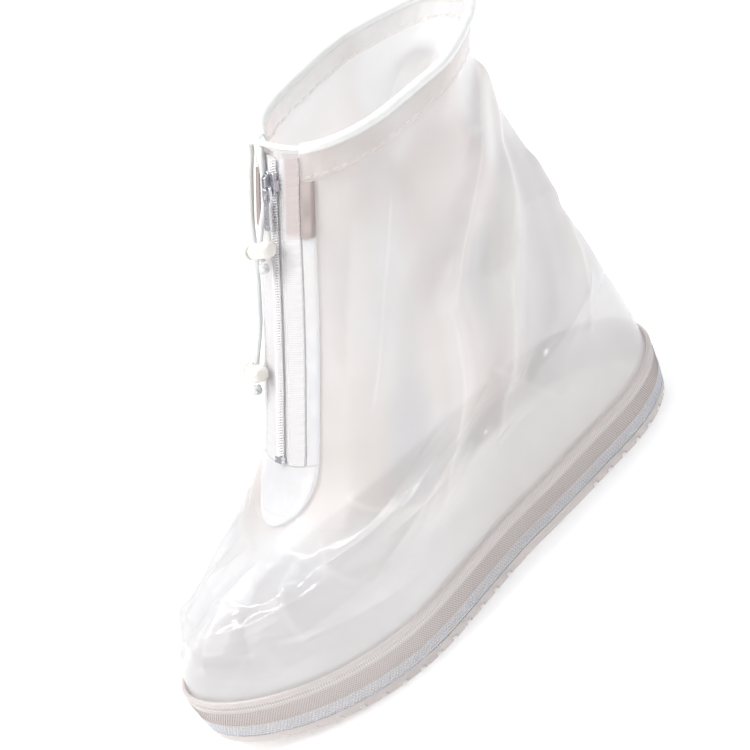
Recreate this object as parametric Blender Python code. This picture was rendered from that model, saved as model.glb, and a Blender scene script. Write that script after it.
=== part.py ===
# Shoe cover: a see-through film boot with a front zip, a drawcord hem and a moulded sole tray.
# Metres, +Z up, toe towards -Y, the wearer's left side at +X, standing on its sole at z = 0.

import math
from collections import namedtuple
from functools import lru_cache

import bmesh
import bpy
import numpy as np
from mathutils import Matrix, Vector

# Sole and foot sizes
soleLength = 0.2935
ballWidth = 0.107
waistWidth = 0.089
heelWidth = 0.082
toeBoxHeight = 0.064
toeSpring = 0.009
toeSpringStart = -0.058
toeSwing = 0.006

# Shaft and collar sizes
coverHeight = 0.236
collarLength = 0.122
collarWidth = 0.080
collarSetback = 0.004
achillesDip = 0.021

# Film, sole tray and seating gap
filmWall = 0.0012
seatGap = 0.0003
trayWall = 0.0018
trayWallHeight = 0.027
trayPlate = 0.003
treadDepth = 0.0022
grooveWidth = 0.0035
groovePitch = 0.0110
grooveEdge = 0.0100
archStart = 0.008
archEnd = 0.062
edgeRound = 0.0016

# Hem with its drawcord
cordDiameter = 0.0028
cordClearance = 0.0003
hemDepth = 0.013
hemWall = 0.0010
hemFold = 0.0008

# Zip
slitWidth = 0.006
tapeWidth = 0.012
tapeWall = 0.0009
coilWidth = 0.0046
coilHeight = 0.0018
coilPitch = 0.0038
coilNick = 0.0005
coilGap = 0.0005
placketWidth = 0.0070
placketWall = 0.0010
placketBlockLength = 0.026
placketBlockWall = 0.0019
zipTopMargin = 0.002
zipEndAlong = 5.35
patchLength = 0.030
patchWall = 0.0010
patchGap = 0.0006

# Slider and its pull tab
sliderDrop = 0.0135
sliderLength = 0.0112
sliderWidth = 0.0080
sliderShoulder = 0.0066
sliderWall = 0.0011
flangeWall = 0.0013
flangeStart = 0.0017
flangeEnd = 0.0037
bridgeLength = 0.0080
bridgeWidth = 0.0022
bridgeHeight = 0.0034
bridgeWall = 0.0011
tabLength = 0.0215
tabWidth = 0.0066
tabWall = 0.0013
tabEyeLength = 0.0058
tabEyeWidth = 0.0034
pivotFromTop = 0.0052
stopLength = 0.0035
stopWidth = 0.0062
stopHeight = 0.0021

# Cord locks
barrelDiameter = 0.0084
barrelLength = 0.0150
barrelBore = 0.0056
barrelEndWall = 0.0016
crossHole = 0.0038
holeFromMouth = 0.0055
plungerShaft = 0.0050
plungerHead = 0.0072
plungerHeadLength = 0.0028
plungerNeck = 0.0038
plungerTravel = 0.0032
plungerTip = 0.0010
headRound = 0.0007
knotDiameter = 0.0056
knotLength = 0.0060

# How finely the film and the round pieces are faceted
columnCount = 44
stepsPerSection = 3
barrelSides = 14

halfLength = soleLength / 2
toeY = -halfLength
heelY = halfLength
collarBackY = heelY - collarSetback
collarFrontY = collarBackY - collarLength
soleTop = treadDepth + trayPlate
hemTopRise = seatGap + cordDiameter + cordClearance * 2 + hemWall
filmTop = coverHeight - hemTopRise
filmFoot = soleTop + seatGap

# Sections of the film, sole edge to collar. front: share of the way from toe tip to collar front.
# toe, top: shares of the toe box height, and of the rise above it, at the ring's front and back.
# dip: share of the dip above the heel. collar: blend from foot widths to the collar width.
# ball, waist, heel: the half widths there, as shares of that blend. nose, tail: how far from
# each end the ring is still rounding, as a share of its length.
Section = namedtuple("Section", "front toe top dip backToe backTop collar ball waist heel nose tail")
sections = [
    Section(0.018, 0.00, 0.00, 0.14, 0.00, 0.00, 0.00, 0.95, 0.94, 0.95, 0.36, 0.20),
    Section(0.000, 0.36, 0.00, 0.00, 0.36, 0.00, 0.00, 1.00, 1.00, 1.00, 0.36, 0.20),
    Section(0.046, 0.74, 0.00, 0.04, 0.74, 0.00, 0.00, 1.00, 1.02, 1.01, 0.36, 0.21),
    Section(0.180, 1.00, 0.01, 0.18, 1.00, 0.06, 0.10, 0.98, 1.03, 1.00, 0.36, 0.22),
    Section(0.370, 1.00, 0.07, 0.32, 1.00, 0.20, 0.25, 1.01, 1.03, 0.98, 0.33, 0.24),
    Section(0.520, 1.00, 0.17, 0.46, 1.00, 0.36, 0.45, 1.01, 1.02, 0.96, 0.29, 0.27),
    Section(0.650, 1.00, 0.37, 0.62, 1.00, 0.52, 0.65, 0.98, 1.01, 0.95, 0.29, 0.31),
    Section(0.775, 1.00, 0.59, 0.80, 1.00, 0.68, 0.80, 0.93, 0.99, 0.93, 0.32, 0.36),
    Section(0.890, 1.00, 0.80, 0.96, 1.00, 0.84, 0.92, 0.95, 0.98, 0.90, 0.33, 0.41),
    Section(1.000, 1.00, 1.00, 0.19, 1.00, 1.00, 1.00, 0.96, 1.00, 0.88, 0.36, 0.46),
]
topAlong = len(sections) - 1
ballStation = 0.28
waistStation = 0.60
heelStation = 0.86
noseFullness = 2.1
tailFullness = 2.2
levelBelow = 0.5
normalNudge = 0.01

# Main folds of the film, each a line across it. Angles in degrees from the front, plus to the
# wearer's left; along in sections; depth and width as shares of the two sizes above the table.
# The folds fade out towards the sole, the hem and the zip, from and over these section numbers
# and angles.
foldDepth = 0.0040
foldWidth = 0.0100
foldGirth = 0.046
foldRise = 0.026
foldFoot = 0.9
foldFootFade = 1.7
foldTop = 0.5
foldTopFade = 0.6
flatBesideZip = (20, 42)
flatBelowZip = (0.8, 1.4)
Fold = namedtuple("Fold", "fromAngle fromAlong toAngle toAlong depth width")
folds = [
    Fold(165, 8.2, 112, 5.6, 0.75, 0.60),
    Fold(112, 5.6, 98, 3.0, 0.75, 0.70),
    Fold(150, 8.0, 86, 6.2, 0.70, 0.70),
    Fold(86, 6.2, 82, 2.6, 0.70, 0.80),
    Fold(156, 5.8, 124, 3.2, 0.60, 0.70),
    Fold(140, 6.8, 114, 3.4, -0.90, 1.00),
    Fold(110, 7.0, 92, 3.6, -0.90, 1.00),
    Fold(62, 6.6, 60, 4.2, -0.60, 1.30),
    Fold(80, 7.8, 48, 6.4, 0.40, 1.20),
    Fold(16, 4.2, 56, 2.6, -0.60, 0.70),
    Fold(-14, 4.0, -60, 2.8, -0.65, 0.80),
    Fold(-150, 8.0, -104, 5.4, 0.75, 0.70),
    Fold(-104, 5.4, -92, 2.8, 0.70, 0.80),
    Fold(-158, 6.0, -126, 3.2, 0.60, 0.80),
    Fold(-132, 6.8, -112, 3.4, -0.90, 1.00),
    Fold(-84, 7.2, -68, 3.8, -0.80, 1.10),
]

# Free cord routes: down the zip from the film's top edge, aside from its middle, and above the
# film, in metres, a row for each chosen point.
Route = namedtuple("Route", "down aside above")
shortRoute = [
    Route(-0.0020, -0.0147, -0.0006),
    Route(-0.0020, -0.0125, -0.0005),
    Route(-0.0018, -0.0102, 0.0008),
    Route(0.0002, -0.0084, 0.0027),
    Route(0.0045, -0.0074, 0.0034),
    Route(0.0140, -0.0068, 0.0031),
    Route(0.0260, -0.0067, 0.0033),
    Route(0.0350, -0.0058, 0.0056),
    Route(0.0410, -0.0037, 0.0082),
    Route(0.0450, -0.0026, 0.0086),
    Route(0.0500, -0.0016, 0.0086),
]
longRoute = [
    Route(-0.0020, 0.0147, -0.0006),
    Route(-0.0021, 0.0125, -0.0005),
    Route(-0.0030, 0.0070, 0.0008),
    Route(-0.0036, 0.0000, 0.0022),
    Route(-0.0036, -0.0070, 0.0036),
    Route(-0.0022, -0.0130, 0.0048),
    Route(0.0010, -0.0180, 0.0046),
    Route(0.0070, -0.0216, 0.0036),
    Route(0.0150, -0.0228, 0.0041),
    Route(0.0300, -0.0232, 0.0041),
    Route(0.0420, -0.0228, 0.0040),
    Route(0.0560, -0.0214, 0.0032),
    Route(0.0720, -0.0190, 0.0032),
    Route(0.0880, -0.0172, 0.0036),
    Route(0.1015, -0.0156, 0.0056),
    Route(0.1080, -0.0150, 0.0063),
    Route(0.1130, -0.0146, 0.0063),
]
shortLockTilt = 3.0
longLockTilt = 3.0


def clearScene():
    for item in list(bpy.data.objects):
        bpy.data.objects.remove(item, do_unlink=True)


def makeMaterial(name, colour, roughness, metallic=0.0, alpha=1.0):
    material = bpy.data.materials.new(name)
    material.use_nodes = True
    shader = material.node_tree.nodes["Principled BSDF"]
    shader.inputs["Base Color"].default_value = (*colour, 1.0)
    shader.inputs["Roughness"].default_value = roughness
    shader.inputs["Metallic"].default_value = metallic
    shader.inputs["Alpha"].default_value = alpha
    material.diffuse_color = (*colour, alpha)
    return material


def makeObject(name, vertices, faces, material, smooth=True):
    mesh = bpy.data.meshes.new(name)
    mesh.from_pydata([tuple(point) for point in vertices], [], faces)
    shell = bmesh.new()
    shell.from_mesh(mesh)
    bmesh.ops.recalc_face_normals(shell, faces=shell.faces)
    shell.to_mesh(mesh)
    shell.free()
    if smooth:
        mesh.shade_smooth()
        mesh.set_sharp_from_angle(angle=math.radians(35))
    mesh.materials.append(material)
    thing = bpy.data.objects.new(name, mesh)
    bpy.context.scene.collection.objects.link(thing)
    return thing


# The film's surface


def blend(low, high, share):
    return low + (high - low) * share


def smoothStep(low, high, value):
    share = min(max((value - low) / (high - low), 0.0), 1.0)
    return share * share * (3 - 2 * share)


def curveThrough(rows, at):
    # A smooth curve through the rows, read at a row number with a fraction.
    first = min(max(int(math.floor(at)), 0), len(rows) - 2)
    part = at - first
    before = np.array(rows[max(first - 1, 0)])
    start = np.array(rows[first])
    end = np.array(rows[first + 1])
    after = np.array(rows[min(first + 2, len(rows) - 1)])
    if first == 0:
        before = 2 * start - end
    if first + 2 > len(rows) - 1:
        after = 2 * end - start
    rise = (end - before) / 2
    fall = (after - start) / 2
    square = part * part
    cube = square * part
    return ((2 * cube - 3 * square + 1) * start + (cube - 2 * square + part) * rise
            + (3 * square - 2 * cube) * end + (cube - square) * fall)


@lru_cache(maxsize=None)
def sectionAt(along):
    return Section(*curveThrough(sections, along))


def sectionHeight(toeShare, topShare):
    return filmFoot + toeShare * (toeBoxHeight - filmFoot) + topShare * (filmTop - toeBoxHeight)


def halfWidth(section, share):
    # The ring's half width at a share of its length from the front.
    collarHalf = collarWidth / 2
    ball = section.ball * blend(ballWidth / 2, collarHalf, section.collar)
    waist = section.waist * blend(waistWidth / 2, collarHalf, section.collar)
    heel = section.heel * blend(heelWidth / 2, collarHalf, section.collar)
    width = blend(ball, waist, smoothStep(ballStation, waistStation, share))
    width = blend(width, heel, smoothStep(waistStation, heelStation, share))
    if share < section.nose:
        width *= math.sqrt(max(0.0, 1 - (1 - share / section.nose) ** noseFullness))
    if share > 1 - section.tail:
        width *= math.sqrt(max(0.0, 1 - (1 - (1 - share) / section.tail) ** tailFullness))
    return width


def toeLift(y):
    share = min(max((toeSpringStart - y) / (toeSpringStart - toeY), 0.0), 1.0)
    return toeSpring * share * share


def toeShift(y):
    share = min(max((toeSpringStart - y) / (toeSpringStart - toeY), 0.0), 1.0)
    return -toeSwing * share * share


def plainPoint(angle, along):
    # A point of the film's middle surface without its folds.
    section = sectionAt(along)
    share = (1 - math.cos(angle)) / 2
    frontY = blend(toeY, collarFrontY, section.front)
    backY = heelY - achillesDip * section.dip
    y = blend(frontY, backY, share)
    z = blend(sectionHeight(section.toe, section.top),
              sectionHeight(section.backToe, section.backTop), share)
    x = math.copysign(halfWidth(section, share), math.sin(angle))
    return Vector((x + toeShift(y), y, z + toeLift(y)))


def surfaceNormal(point, angle, along):
    nudge = normalNudge
    acrossStep = point(angle + nudge, along) - point(angle - nudge, along)
    low = max(along - nudge, 0.0)
    high = min(along + nudge, float(topAlong))
    alongStep = point(angle, high) - point(angle, low)
    return acrossStep.cross(alongStep).normalized()


def foldHeight(angle, along):
    # The summed depth of the folds, from each line's distance on the unrolled film.
    height = 0.0
    for fold in folds:
        start = Vector((math.radians(fold.fromAngle) * foldGirth, fold.fromAlong * foldRise))
        end = Vector((math.radians(fold.toAngle) * foldGirth, fold.toAlong * foldRise))
        here = Vector((angle * foldGirth, along * foldRise))
        line = end - start
        share = min(max((here - start).dot(line) / line.length_squared, 0.0), 1.0)
        away = (here - start - line * share).length / (foldWidth * fold.width)
        height += foldDepth * fold.depth * math.exp(-away * away)
    fromFoot = smoothStep(foldFoot, foldFoot + foldFootFade, along)
    fromTop = smoothStep(foldTop, foldTop + foldTopFade, topAlong - along)
    besideZip = smoothStep(*flatBesideZip, abs(math.degrees(angle)))
    belowZip = smoothStep(*flatBelowZip, zipEndAlong - along)
    return height * fromFoot * fromTop * max(besideZip, belowZip)


@lru_cache(maxsize=None)
def foldedPoint(angle, along):
    # A point of the film's middle surface with its folds.
    return (plainPoint(angle, along)
            + surfaceNormal(plainPoint, angle, along) * foldHeight(angle, along))


@lru_cache(maxsize=None)
def filmNormal(angle, along):
    # The outward direction, turned level near the sole so that the tray's ring stays flat.
    normal = surfaceNormal(foldedPoint, angle, along)
    if along < levelBelow:
        normal.z *= along / levelBelow
        normal.normalize()
    return normal


def filmPoint(angle, along, offset):
    return foldedPoint(angle, along) + filmNormal(angle, along) * offset


@lru_cache(maxsize=None)
def angleAside(aside, along):
    # The ring angle at a distance along the film from the zip's middle line.
    reach = 1.3
    steps = 52
    last = foldedPoint(0.0, along)
    walked = 0.0
    for step in range(1, steps + 1):
        angle = reach * step / steps
        here = foldedPoint(angle, along)
        length = (here - last).length
        if walked + length >= abs(aside):
            part = (abs(aside) - walked) / length
            return math.copysign(reach * (step - 1 + part) / steps, aside)
        walked += length
        last = here
    return math.copysign(reach, aside)


def buildZipTable():
    # Distances down the zip line from the film's top edge, with the section number at each.
    steps = 120
    rows = [(0.0, float(topAlong))]
    last = foldedPoint(0.0, topAlong)
    walked = 0.0
    for step in range(1, steps + 1):
        along = topAlong * (1 - step / steps)
        here = foldedPoint(0.0, along)
        walked += (here - last).length
        rows.append((walked, along))
        last = here
    return rows


zipTable = buildZipTable()


def alongDown(down):
    downs = [row[0] for row in zipTable]
    alongs = [row[1] for row in zipTable]
    return float(np.interp(down, downs, alongs))


def downOf(along):
    downs = [row[0] for row in reversed(zipTable)]
    alongs = [row[1] for row in reversed(zipTable)]
    return float(np.interp(along, alongs, downs))


def seatPoint(down, aside, above):
    # A point above the film's outer face, placed by its distance down and beside the zip.
    along = alongDown(max(down, 0.0))
    angle = angleAside(aside, along)
    normal = filmNormal(angle, along)
    point = foldedPoint(angle, along) + normal * (filmWall / 2 + above)
    if down < 0:
        upward = foldedPoint(angle, topAlong) - foldedPoint(angle, topAlong - 0.1)
        point += upward.normalized() * -down
    return point


def seatFrame(down, aside, above):
    # Local axes on the film: x beside the zip, y down it, z out of the film.
    origin = seatPoint(down, aside, above)
    outward = filmNormal(angleAside(aside, alongDown(down)), alongDown(down))
    downward = seatPoint(down + 0.002, aside, above) - seatPoint(down - 0.002, aside, above)
    downward = (downward - outward * downward.dot(outward)).normalized()
    beside = downward.cross(outward)
    turn = Matrix((beside, downward, outward)).transposed().to_4x4()
    return Matrix.Translation(origin) @ turn


# Film upper


def frontStations():
    # Distances beside the zip at which the film, the tapes and the plackets all have an edge.
    slit = slitWidth / 2
    tapeEdge = slit + tapeWidth
    placketEdge = tapeEdge + placketWidth
    return [slit, (slit + tapeEdge) / 2, tapeEdge, (tapeEdge + placketEdge) / 2, placketEdge]


def trayTopAlong():
    low, high = 0.0, 2.0
    for _ in range(30):
        middle = (low + high) / 2
        if sectionHeight(sectionAt(middle).toe, 0.0) < trayWallHeight:
            low = middle
        else:
            high = middle
    return low


def filmRows():
    # Section numbers of the film's rows, with one at the tray's lip and one at the zip's end.
    count = topAlong * stepsPerSection
    rows = [step / stepsPerSection for step in range(count + 1)]
    places = []
    for value in (trayTopAlong(), zipEndAlong):
        nearest = min(range(len(rows)), key=lambda number: abs(rows[number] - value))
        rows[nearest] = value
        places.append(nearest)
    return rows, places[0], places[1]


@lru_cache(maxsize=None)
def columnAngles(along):
    # Ring angles from one edge of the zip slit round the back to the other.
    sides = [angleAside(aside, along) for aside in frontStations()]
    around = columnCount - 2 * (len(sides) - 1)
    start = sides[-1]
    angles = sides[:-1]
    for number in range(around + 1):
        angles.append(start + (2 * math.pi - 2 * start) * number / around)
    return angles + [2 * math.pi - angle for angle in reversed(sides[:-1])]


def buildUpper(material):
    rows, _, slitRow = filmRows()
    width = columnCount + 1
    vertices = []
    for offset in (filmWall / 2, -filmWall / 2):
        for along in rows:
            for angle in columnAngles(along):
                vertices.append(filmPoint(angle, along, offset))
    inner = len(rows) * width
    faces = []

    def corner(row, column, layer=0):
        return layer * inner + row * width + column

    for row in range(len(rows) - 1):
        for column in range(columnCount):
            faces.append((corner(row, column), corner(row, column + 1),
                          corner(row + 1, column + 1), corner(row + 1, column)))
            faces.append((corner(row, column, 1), corner(row + 1, column, 1),
                          corner(row + 1, column + 1, 1), corner(row, column + 1, 1)))
        if row < slitRow:
            faces.append((corner(row, columnCount), corner(row, 0),
                          corner(row + 1, 0), corner(row + 1, columnCount)))
            faces.append((corner(row, columnCount, 1), corner(row + 1, columnCount, 1),
                          corner(row + 1, 0, 1), corner(row, 0, 1)))
        else:
            for column in (0, columnCount):
                faces.append((corner(row, column), corner(row + 1, column),
                              corner(row + 1, column, 1), corner(row, column, 1)))
    last = len(rows) - 1
    for column in range(columnCount):
        for row in (0, last):
            faces.append((corner(row, column), corner(row, column + 1),
                          corner(row, column + 1, 1), corner(row, column, 1)))
    for row in (0, slitRow):
        faces.append((corner(row, columnCount), corner(row, 0),
                      corner(row, 0, 1), corner(row, columnCount, 1)))
    return makeObject("upper", vertices, faces, material)


# Sole tray


def buildTrayRing(along, offset, height=None):
    points = []
    for angle in columnAngles(along):
        normal = filmNormal(angle, along)
        point = foldedPoint(angle, along) + normal * offset
        if height is not None:
            point.z = height + toeLift(point.y)
        points.append(point)
    return points


def buildSoleTray(material):
    rows, lipRow, _ = filmRows()
    inside = filmWall / 2 + seatGap
    outside = inside + trayWall
    rings = [buildTrayRing(0.0, inside, soleTop)]
    rings += [buildTrayRing(along, inside) for along in rows[1:lipRow + 1]]
    rings += [buildTrayRing(along, outside) for along in reversed(rows[1:lipRow + 1])]
    rings.append(buildTrayRing(0.0, outside, edgeRound))
    rings.append(buildTrayRing(0.0, outside - edgeRound * 0.7, 0.0))
    count = columnCount + 1
    vertices = [point for ring in rings for point in ring]
    faces = []
    for ring in range(len(rings) - 1):
        for number in range(count):
            after = (number + 1) % count
            faces.append((ring * count + number, ring * count + after,
                          (ring + 1) * count + after, (ring + 1) * count + number))
    for ring in (0, len(rings) - 1):
        start = ring * count
        for number in range(columnCount // 2):
            facing = columnCount - number
            strip = (start + number, start + number + 1, start + facing - 1, start + facing)
            faces.append(tuple(dict.fromkeys(strip)))
    tray = makeObject("sole_tray", vertices, faces, material)
    cutter = buildTreadCutter()
    cut = tray.modifiers.new("grooves", "BOOLEAN")
    cut.operation = "DIFFERENCE"
    cut.solver = "EXACT"
    cut.object = cutter
    return tray


def grooveStations():
    stations = []
    y = toeY + grooveEdge + groovePitch / 2
    while y < heelY - grooveEdge:
        if not archStart < y < archEnd:
            stations.append(y)
        y += groovePitch
    return stations


def buildTreadCutter():
    shell = bmesh.new()
    for y in grooveStations():
        tilt = math.atan((toeLift(y - 0.001) - toeLift(y + 0.001)) / 0.002)
        place = (Matrix.Translation((0, y, toeLift(y)))
                 @ Matrix.Rotation(-tilt, 4, "X")
                 @ Matrix.Diagonal((ballWidth * 1.3, grooveWidth, treadDepth * 2, 1.0)))
        bmesh.ops.create_cube(shell, size=1.0, matrix=place)
    mesh = bpy.data.meshes.new("tread_cutter")
    shell.to_mesh(mesh)
    shell.free()
    cutter = bpy.data.objects.new("tread_cutter", mesh)
    cutter.hide_render = True
    cutter.display_type = "WIRE"
    bpy.context.scene.collection.objects.link(cutter)
    return cutter


# Hem and drawcord


def rimFrame(angle):
    # The film's top edge at one angle, with the outward and upward directions there.
    rim = foldedPoint(angle, topAlong)
    outward = filmNormal(angle, topAlong)
    upward = rim - foldedPoint(angle, topAlong - 0.1)
    upward = (upward - outward * upward.dot(outward)).normalized()
    return rim, outward, upward


def hemPoint(column, out, up):
    # A point of the hem on one of the film's columns, out from the film and up from its edge.
    if up >= 0:
        rim, outward, upward = rimFrame(columnAngles(topAlong)[column])
        return rim + outward * out + upward * up
    along = alongDown(-up)
    angle = columnAngles(along)[column]
    return foldedPoint(angle, along) + filmNormal(angle, along) * out


def hemColumns():
    # The casing ends beside the tapes, at the film's third column from either side.
    return range(2, columnCount - 1)


def hemProfile(wall):
    # The casing's section, out and up from the film's edge, from one leg over the cord to the other.
    legOut = filmWall / 2 + seatGap + wall
    loopRadius = cordDiameter / 2 + cordClearance + wall
    loopUp = cordMiddleUp()
    points = [(legOut, -hemDepth), (legOut, -hemFold)]
    for step in range(5):
        turn = math.pi * step / 4
        points.append((loopRadius * math.cos(turn), loopUp + loopRadius * math.sin(turn)))
    points += [(-legOut, -hemFold), (-legOut, -hemDepth)]
    return points


def cordMiddleUp():
    return seatGap + cordClearance + cordDiameter / 2


def buildCasing(material):
    outer = hemProfile(hemWall)
    inner = hemProfile(0.0)
    size = len(outer)
    vertices = []
    columns = hemColumns()
    for column in columns:
        for out, up in outer + inner:
            vertices.append(hemPoint(column, out, up))
    faces = []
    for ring in range(len(columns) - 1):
        start = ring * 2 * size
        after = start + 2 * size
        for number in range(size - 1):
            faces.append((start + number, start + number + 1, after + number + 1, after + number))
            faces.append((start + size + number, after + size + number,
                          after + size + number + 1, start + size + number + 1))
        for number in (0, size - 1):
            faces.append((start + number, after + number, after + size + number, start + size + number))
    for ring in (0, len(columns) - 1):
        start = ring * 2 * size
        for number in range(size - 1):
            faces.append((start + number, start + number + 1,
                          start + size + number + 1, start + size + number))
    return makeObject("collar_casing", vertices, faces, material)


def smoothRoute(points, spacing):
    # Evenly spaced points on a smooth curve through the chosen ones.
    rows = [tuple(point) for point in points]
    fine = [Vector(curveThrough(rows, step / 24)) for step in range(24 * (len(rows) - 1) + 1)]
    lengths = [0.0]
    for number in range(1, len(fine)):
        lengths.append(lengths[-1] + (fine[number] - fine[number - 1]).length)
    count = max(2, round(lengths[-1] / spacing))
    table = np.array([tuple(point) for point in fine])
    route = []
    for step in range(count + 1):
        at = lengths[-1] * step / count
        route.append(Vector([float(np.interp(at, lengths, table[:, axis])) for axis in range(3)]))
    return route


def buildCord(name, points, material):
    curve = bpy.data.curves.new(name, "CURVE")
    curve.dimensions = "3D"
    curve.bevel_depth = cordDiameter / 2
    curve.bevel_resolution = 2
    curve.use_fill_caps = True
    spline = curve.splines.new("POLY")
    spline.points.add(len(points) - 1)
    for number, point in enumerate(points):
        spline.points[number].co = (*point, 1.0)
    curve.materials.append(material)
    cord = bpy.data.objects.new(name, curve)
    bpy.context.scene.collection.objects.link(cord)
    return cord


def buildHemCord(material):
    points = [hemPoint(column, 0.0, cordMiddleUp()) for column in hemColumns()]
    return buildCord("drawcord", points, material)


# Zip


def filmDowns(start, end):
    # Distances down the zip from start to end, with a stop at each of the film's rows between.
    between = [downOf(along) for along in reversed(filmRows()[0])]
    margin = 0.002
    return [start] + [down for down in between if start + margin < down < end - margin] + [end]


def buildStrip(name, downs, asides, low, high, material):
    # A strip laid on the film: rows down the zip, columns beside it, from low to high above it.
    columns = len(asides)
    vertices = []
    for down in downs:
        for layer in (0, 1):
            for column, aside in enumerate(asides):
                value = aside(down) if callable(aside) else aside
                level = low if layer == 0 else (high(down) if callable(high) else high)
                vertices.append(seatPoint(down, value, level))
    faces = []
    for row in range(len(downs) - 1):
        start = row * 2 * columns
        after = start + 2 * columns
        for column in range(columns - 1):
            faces.append((start + column, start + column + 1, after + column + 1, after + column))
            faces.append((start + columns + column, after + columns + column,
                          after + columns + column + 1, start + columns + column + 1))
        for column in (0, columns - 1):
            faces.append((start + column, after + column,
                          after + columns + column, start + columns + column))
    for row in (0, len(downs) - 1):
        start = row * 2 * columns
        for column in range(columns - 1):
            faces.append((start + column, start + column + 1,
                          start + columns + column + 1, start + columns + column))
    return makeObject(name, vertices, faces, material)


def zipEndDown():
    return downOf(zipEndAlong)


def buildTapes(material):
    downs = filmDowns(zipTopMargin, zipEndDown() - seatGap)
    low = seatGap
    high = seatGap + tapeWall
    slit, middle, outer = frontStations()[:3]
    asides = [seatGap / 2, slit, middle, outer - seatGap]
    buildStrip("zip_tape_left", downs, asides, low, high, material)
    buildStrip("zip_tape_right", downs, [-value for value in reversed(asides)], low, high, material)


def coilBase():
    # The coil's underside above the film, over the tape that carries it.
    return seatGap + tapeWall + coilGap


def buildCoil(material):
    start = zipTopMargin
    end = zipEndDown() - stopLength - 2 * seatGap
    low = coilBase()
    count = max(4, round((end - start) / coilPitch))
    downs = []
    for number in range(count):
        pitch = (end - start) / count
        downs += [start + pitch * number, start + pitch * (number + 0.5)]
    downs.append(end)
    pitch = (end - start) / count

    def crest(down):
        phase = ((down - start) / pitch) % 1.0
        return low + coilHeight - coilNick * (1 + math.cos(2 * math.pi * phase)) / 2

    def edge(side):
        def place(down):
            phase = ((down - start) / pitch) % 1.0
            return side * (coilWidth / 2 - coilNick * (1 + math.cos(2 * math.pi * phase)) / 2)
        return place

    return buildStrip("zip_coil", downs, [edge(-1), edge(1)], low, crest, material)


def buildPlackets(material):
    start = hemDepth + 2 * seatGap
    blockEnd = start + placketBlockLength
    end = zipEndDown() - seatGap
    downs = filmDowns(start, blockEnd) + filmDowns(blockEnd + placketBlockWall - placketWall, end)
    inner, middle, outer = frontStations()[2:]

    def height(down):
        wall = placketBlockWall if down <= blockEnd else placketWall
        return seatGap + wall

    asides = [inner, middle, outer]
    buildStrip("placket_left", downs, asides, seatGap, height, material)
    buildStrip("placket_right", downs, [-value for value in reversed(asides)], seatGap, height, material)


def buildEndPatch(material):
    start = zipEndDown() + seatGap
    end = start + patchLength
    reach = slitWidth / 2 + tapeWidth + placketWidth
    share = [-1.0, -0.6, -0.2, 0.2, 0.6, 1.0]

    def edge(side):
        def place(down):
            turn = min(max((down - start) / patchLength, 0.0), 1.0)
            return side * reach * math.sqrt(max(1 - turn * turn, 0.04))
        return place

    downs = [start + patchLength * value for value in (0.0, 0.3, 0.55, 0.75, 0.9, 1.0)]
    asides = [edge(value) for value in share]
    return buildStrip("zip_end_patch", downs, asides, patchGap, patchGap + patchWall, material)


def placeMesh(name, shell, place, material, smooth=True):
    mesh = bpy.data.meshes.new(name)
    bmesh.ops.recalc_face_normals(shell, faces=shell.faces)
    shell.to_mesh(mesh)
    shell.free()
    if smooth:
        mesh.shade_smooth()
        mesh.set_sharp_from_angle(angle=math.radians(35))
    mesh.materials.append(material)
    thing = bpy.data.objects.new(name, mesh)
    thing.matrix_world = place
    bpy.context.scene.collection.objects.link(thing)
    return thing


def addPrism(shell, outline, low, high):
    # A flat piece from an outline in x and y, raised from low to high.
    bottom = [shell.verts.new((x, y, low)) for x, y in outline]
    upper = [shell.verts.new((x, y, high)) for x, y in outline]
    shell.faces.new(list(reversed(bottom)))
    shell.faces.new(upper)
    count = len(outline)
    for number in range(count):
        after = (number + 1) % count
        shell.faces.new((bottom[number], bottom[after], upper[after], upper[number]))


def joinPieces(base, *others):
    for other in others:
        join = base.modifiers.new("join", "BOOLEAN")
        join.operation = "UNION"
        join.solver = "EXACT"
        join.object = other
        other.hide_render = True
        other.display_type = "WIRE"


def sliderTop():
    return coilBase() + coilHeight + seatGap + sliderWall


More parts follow.
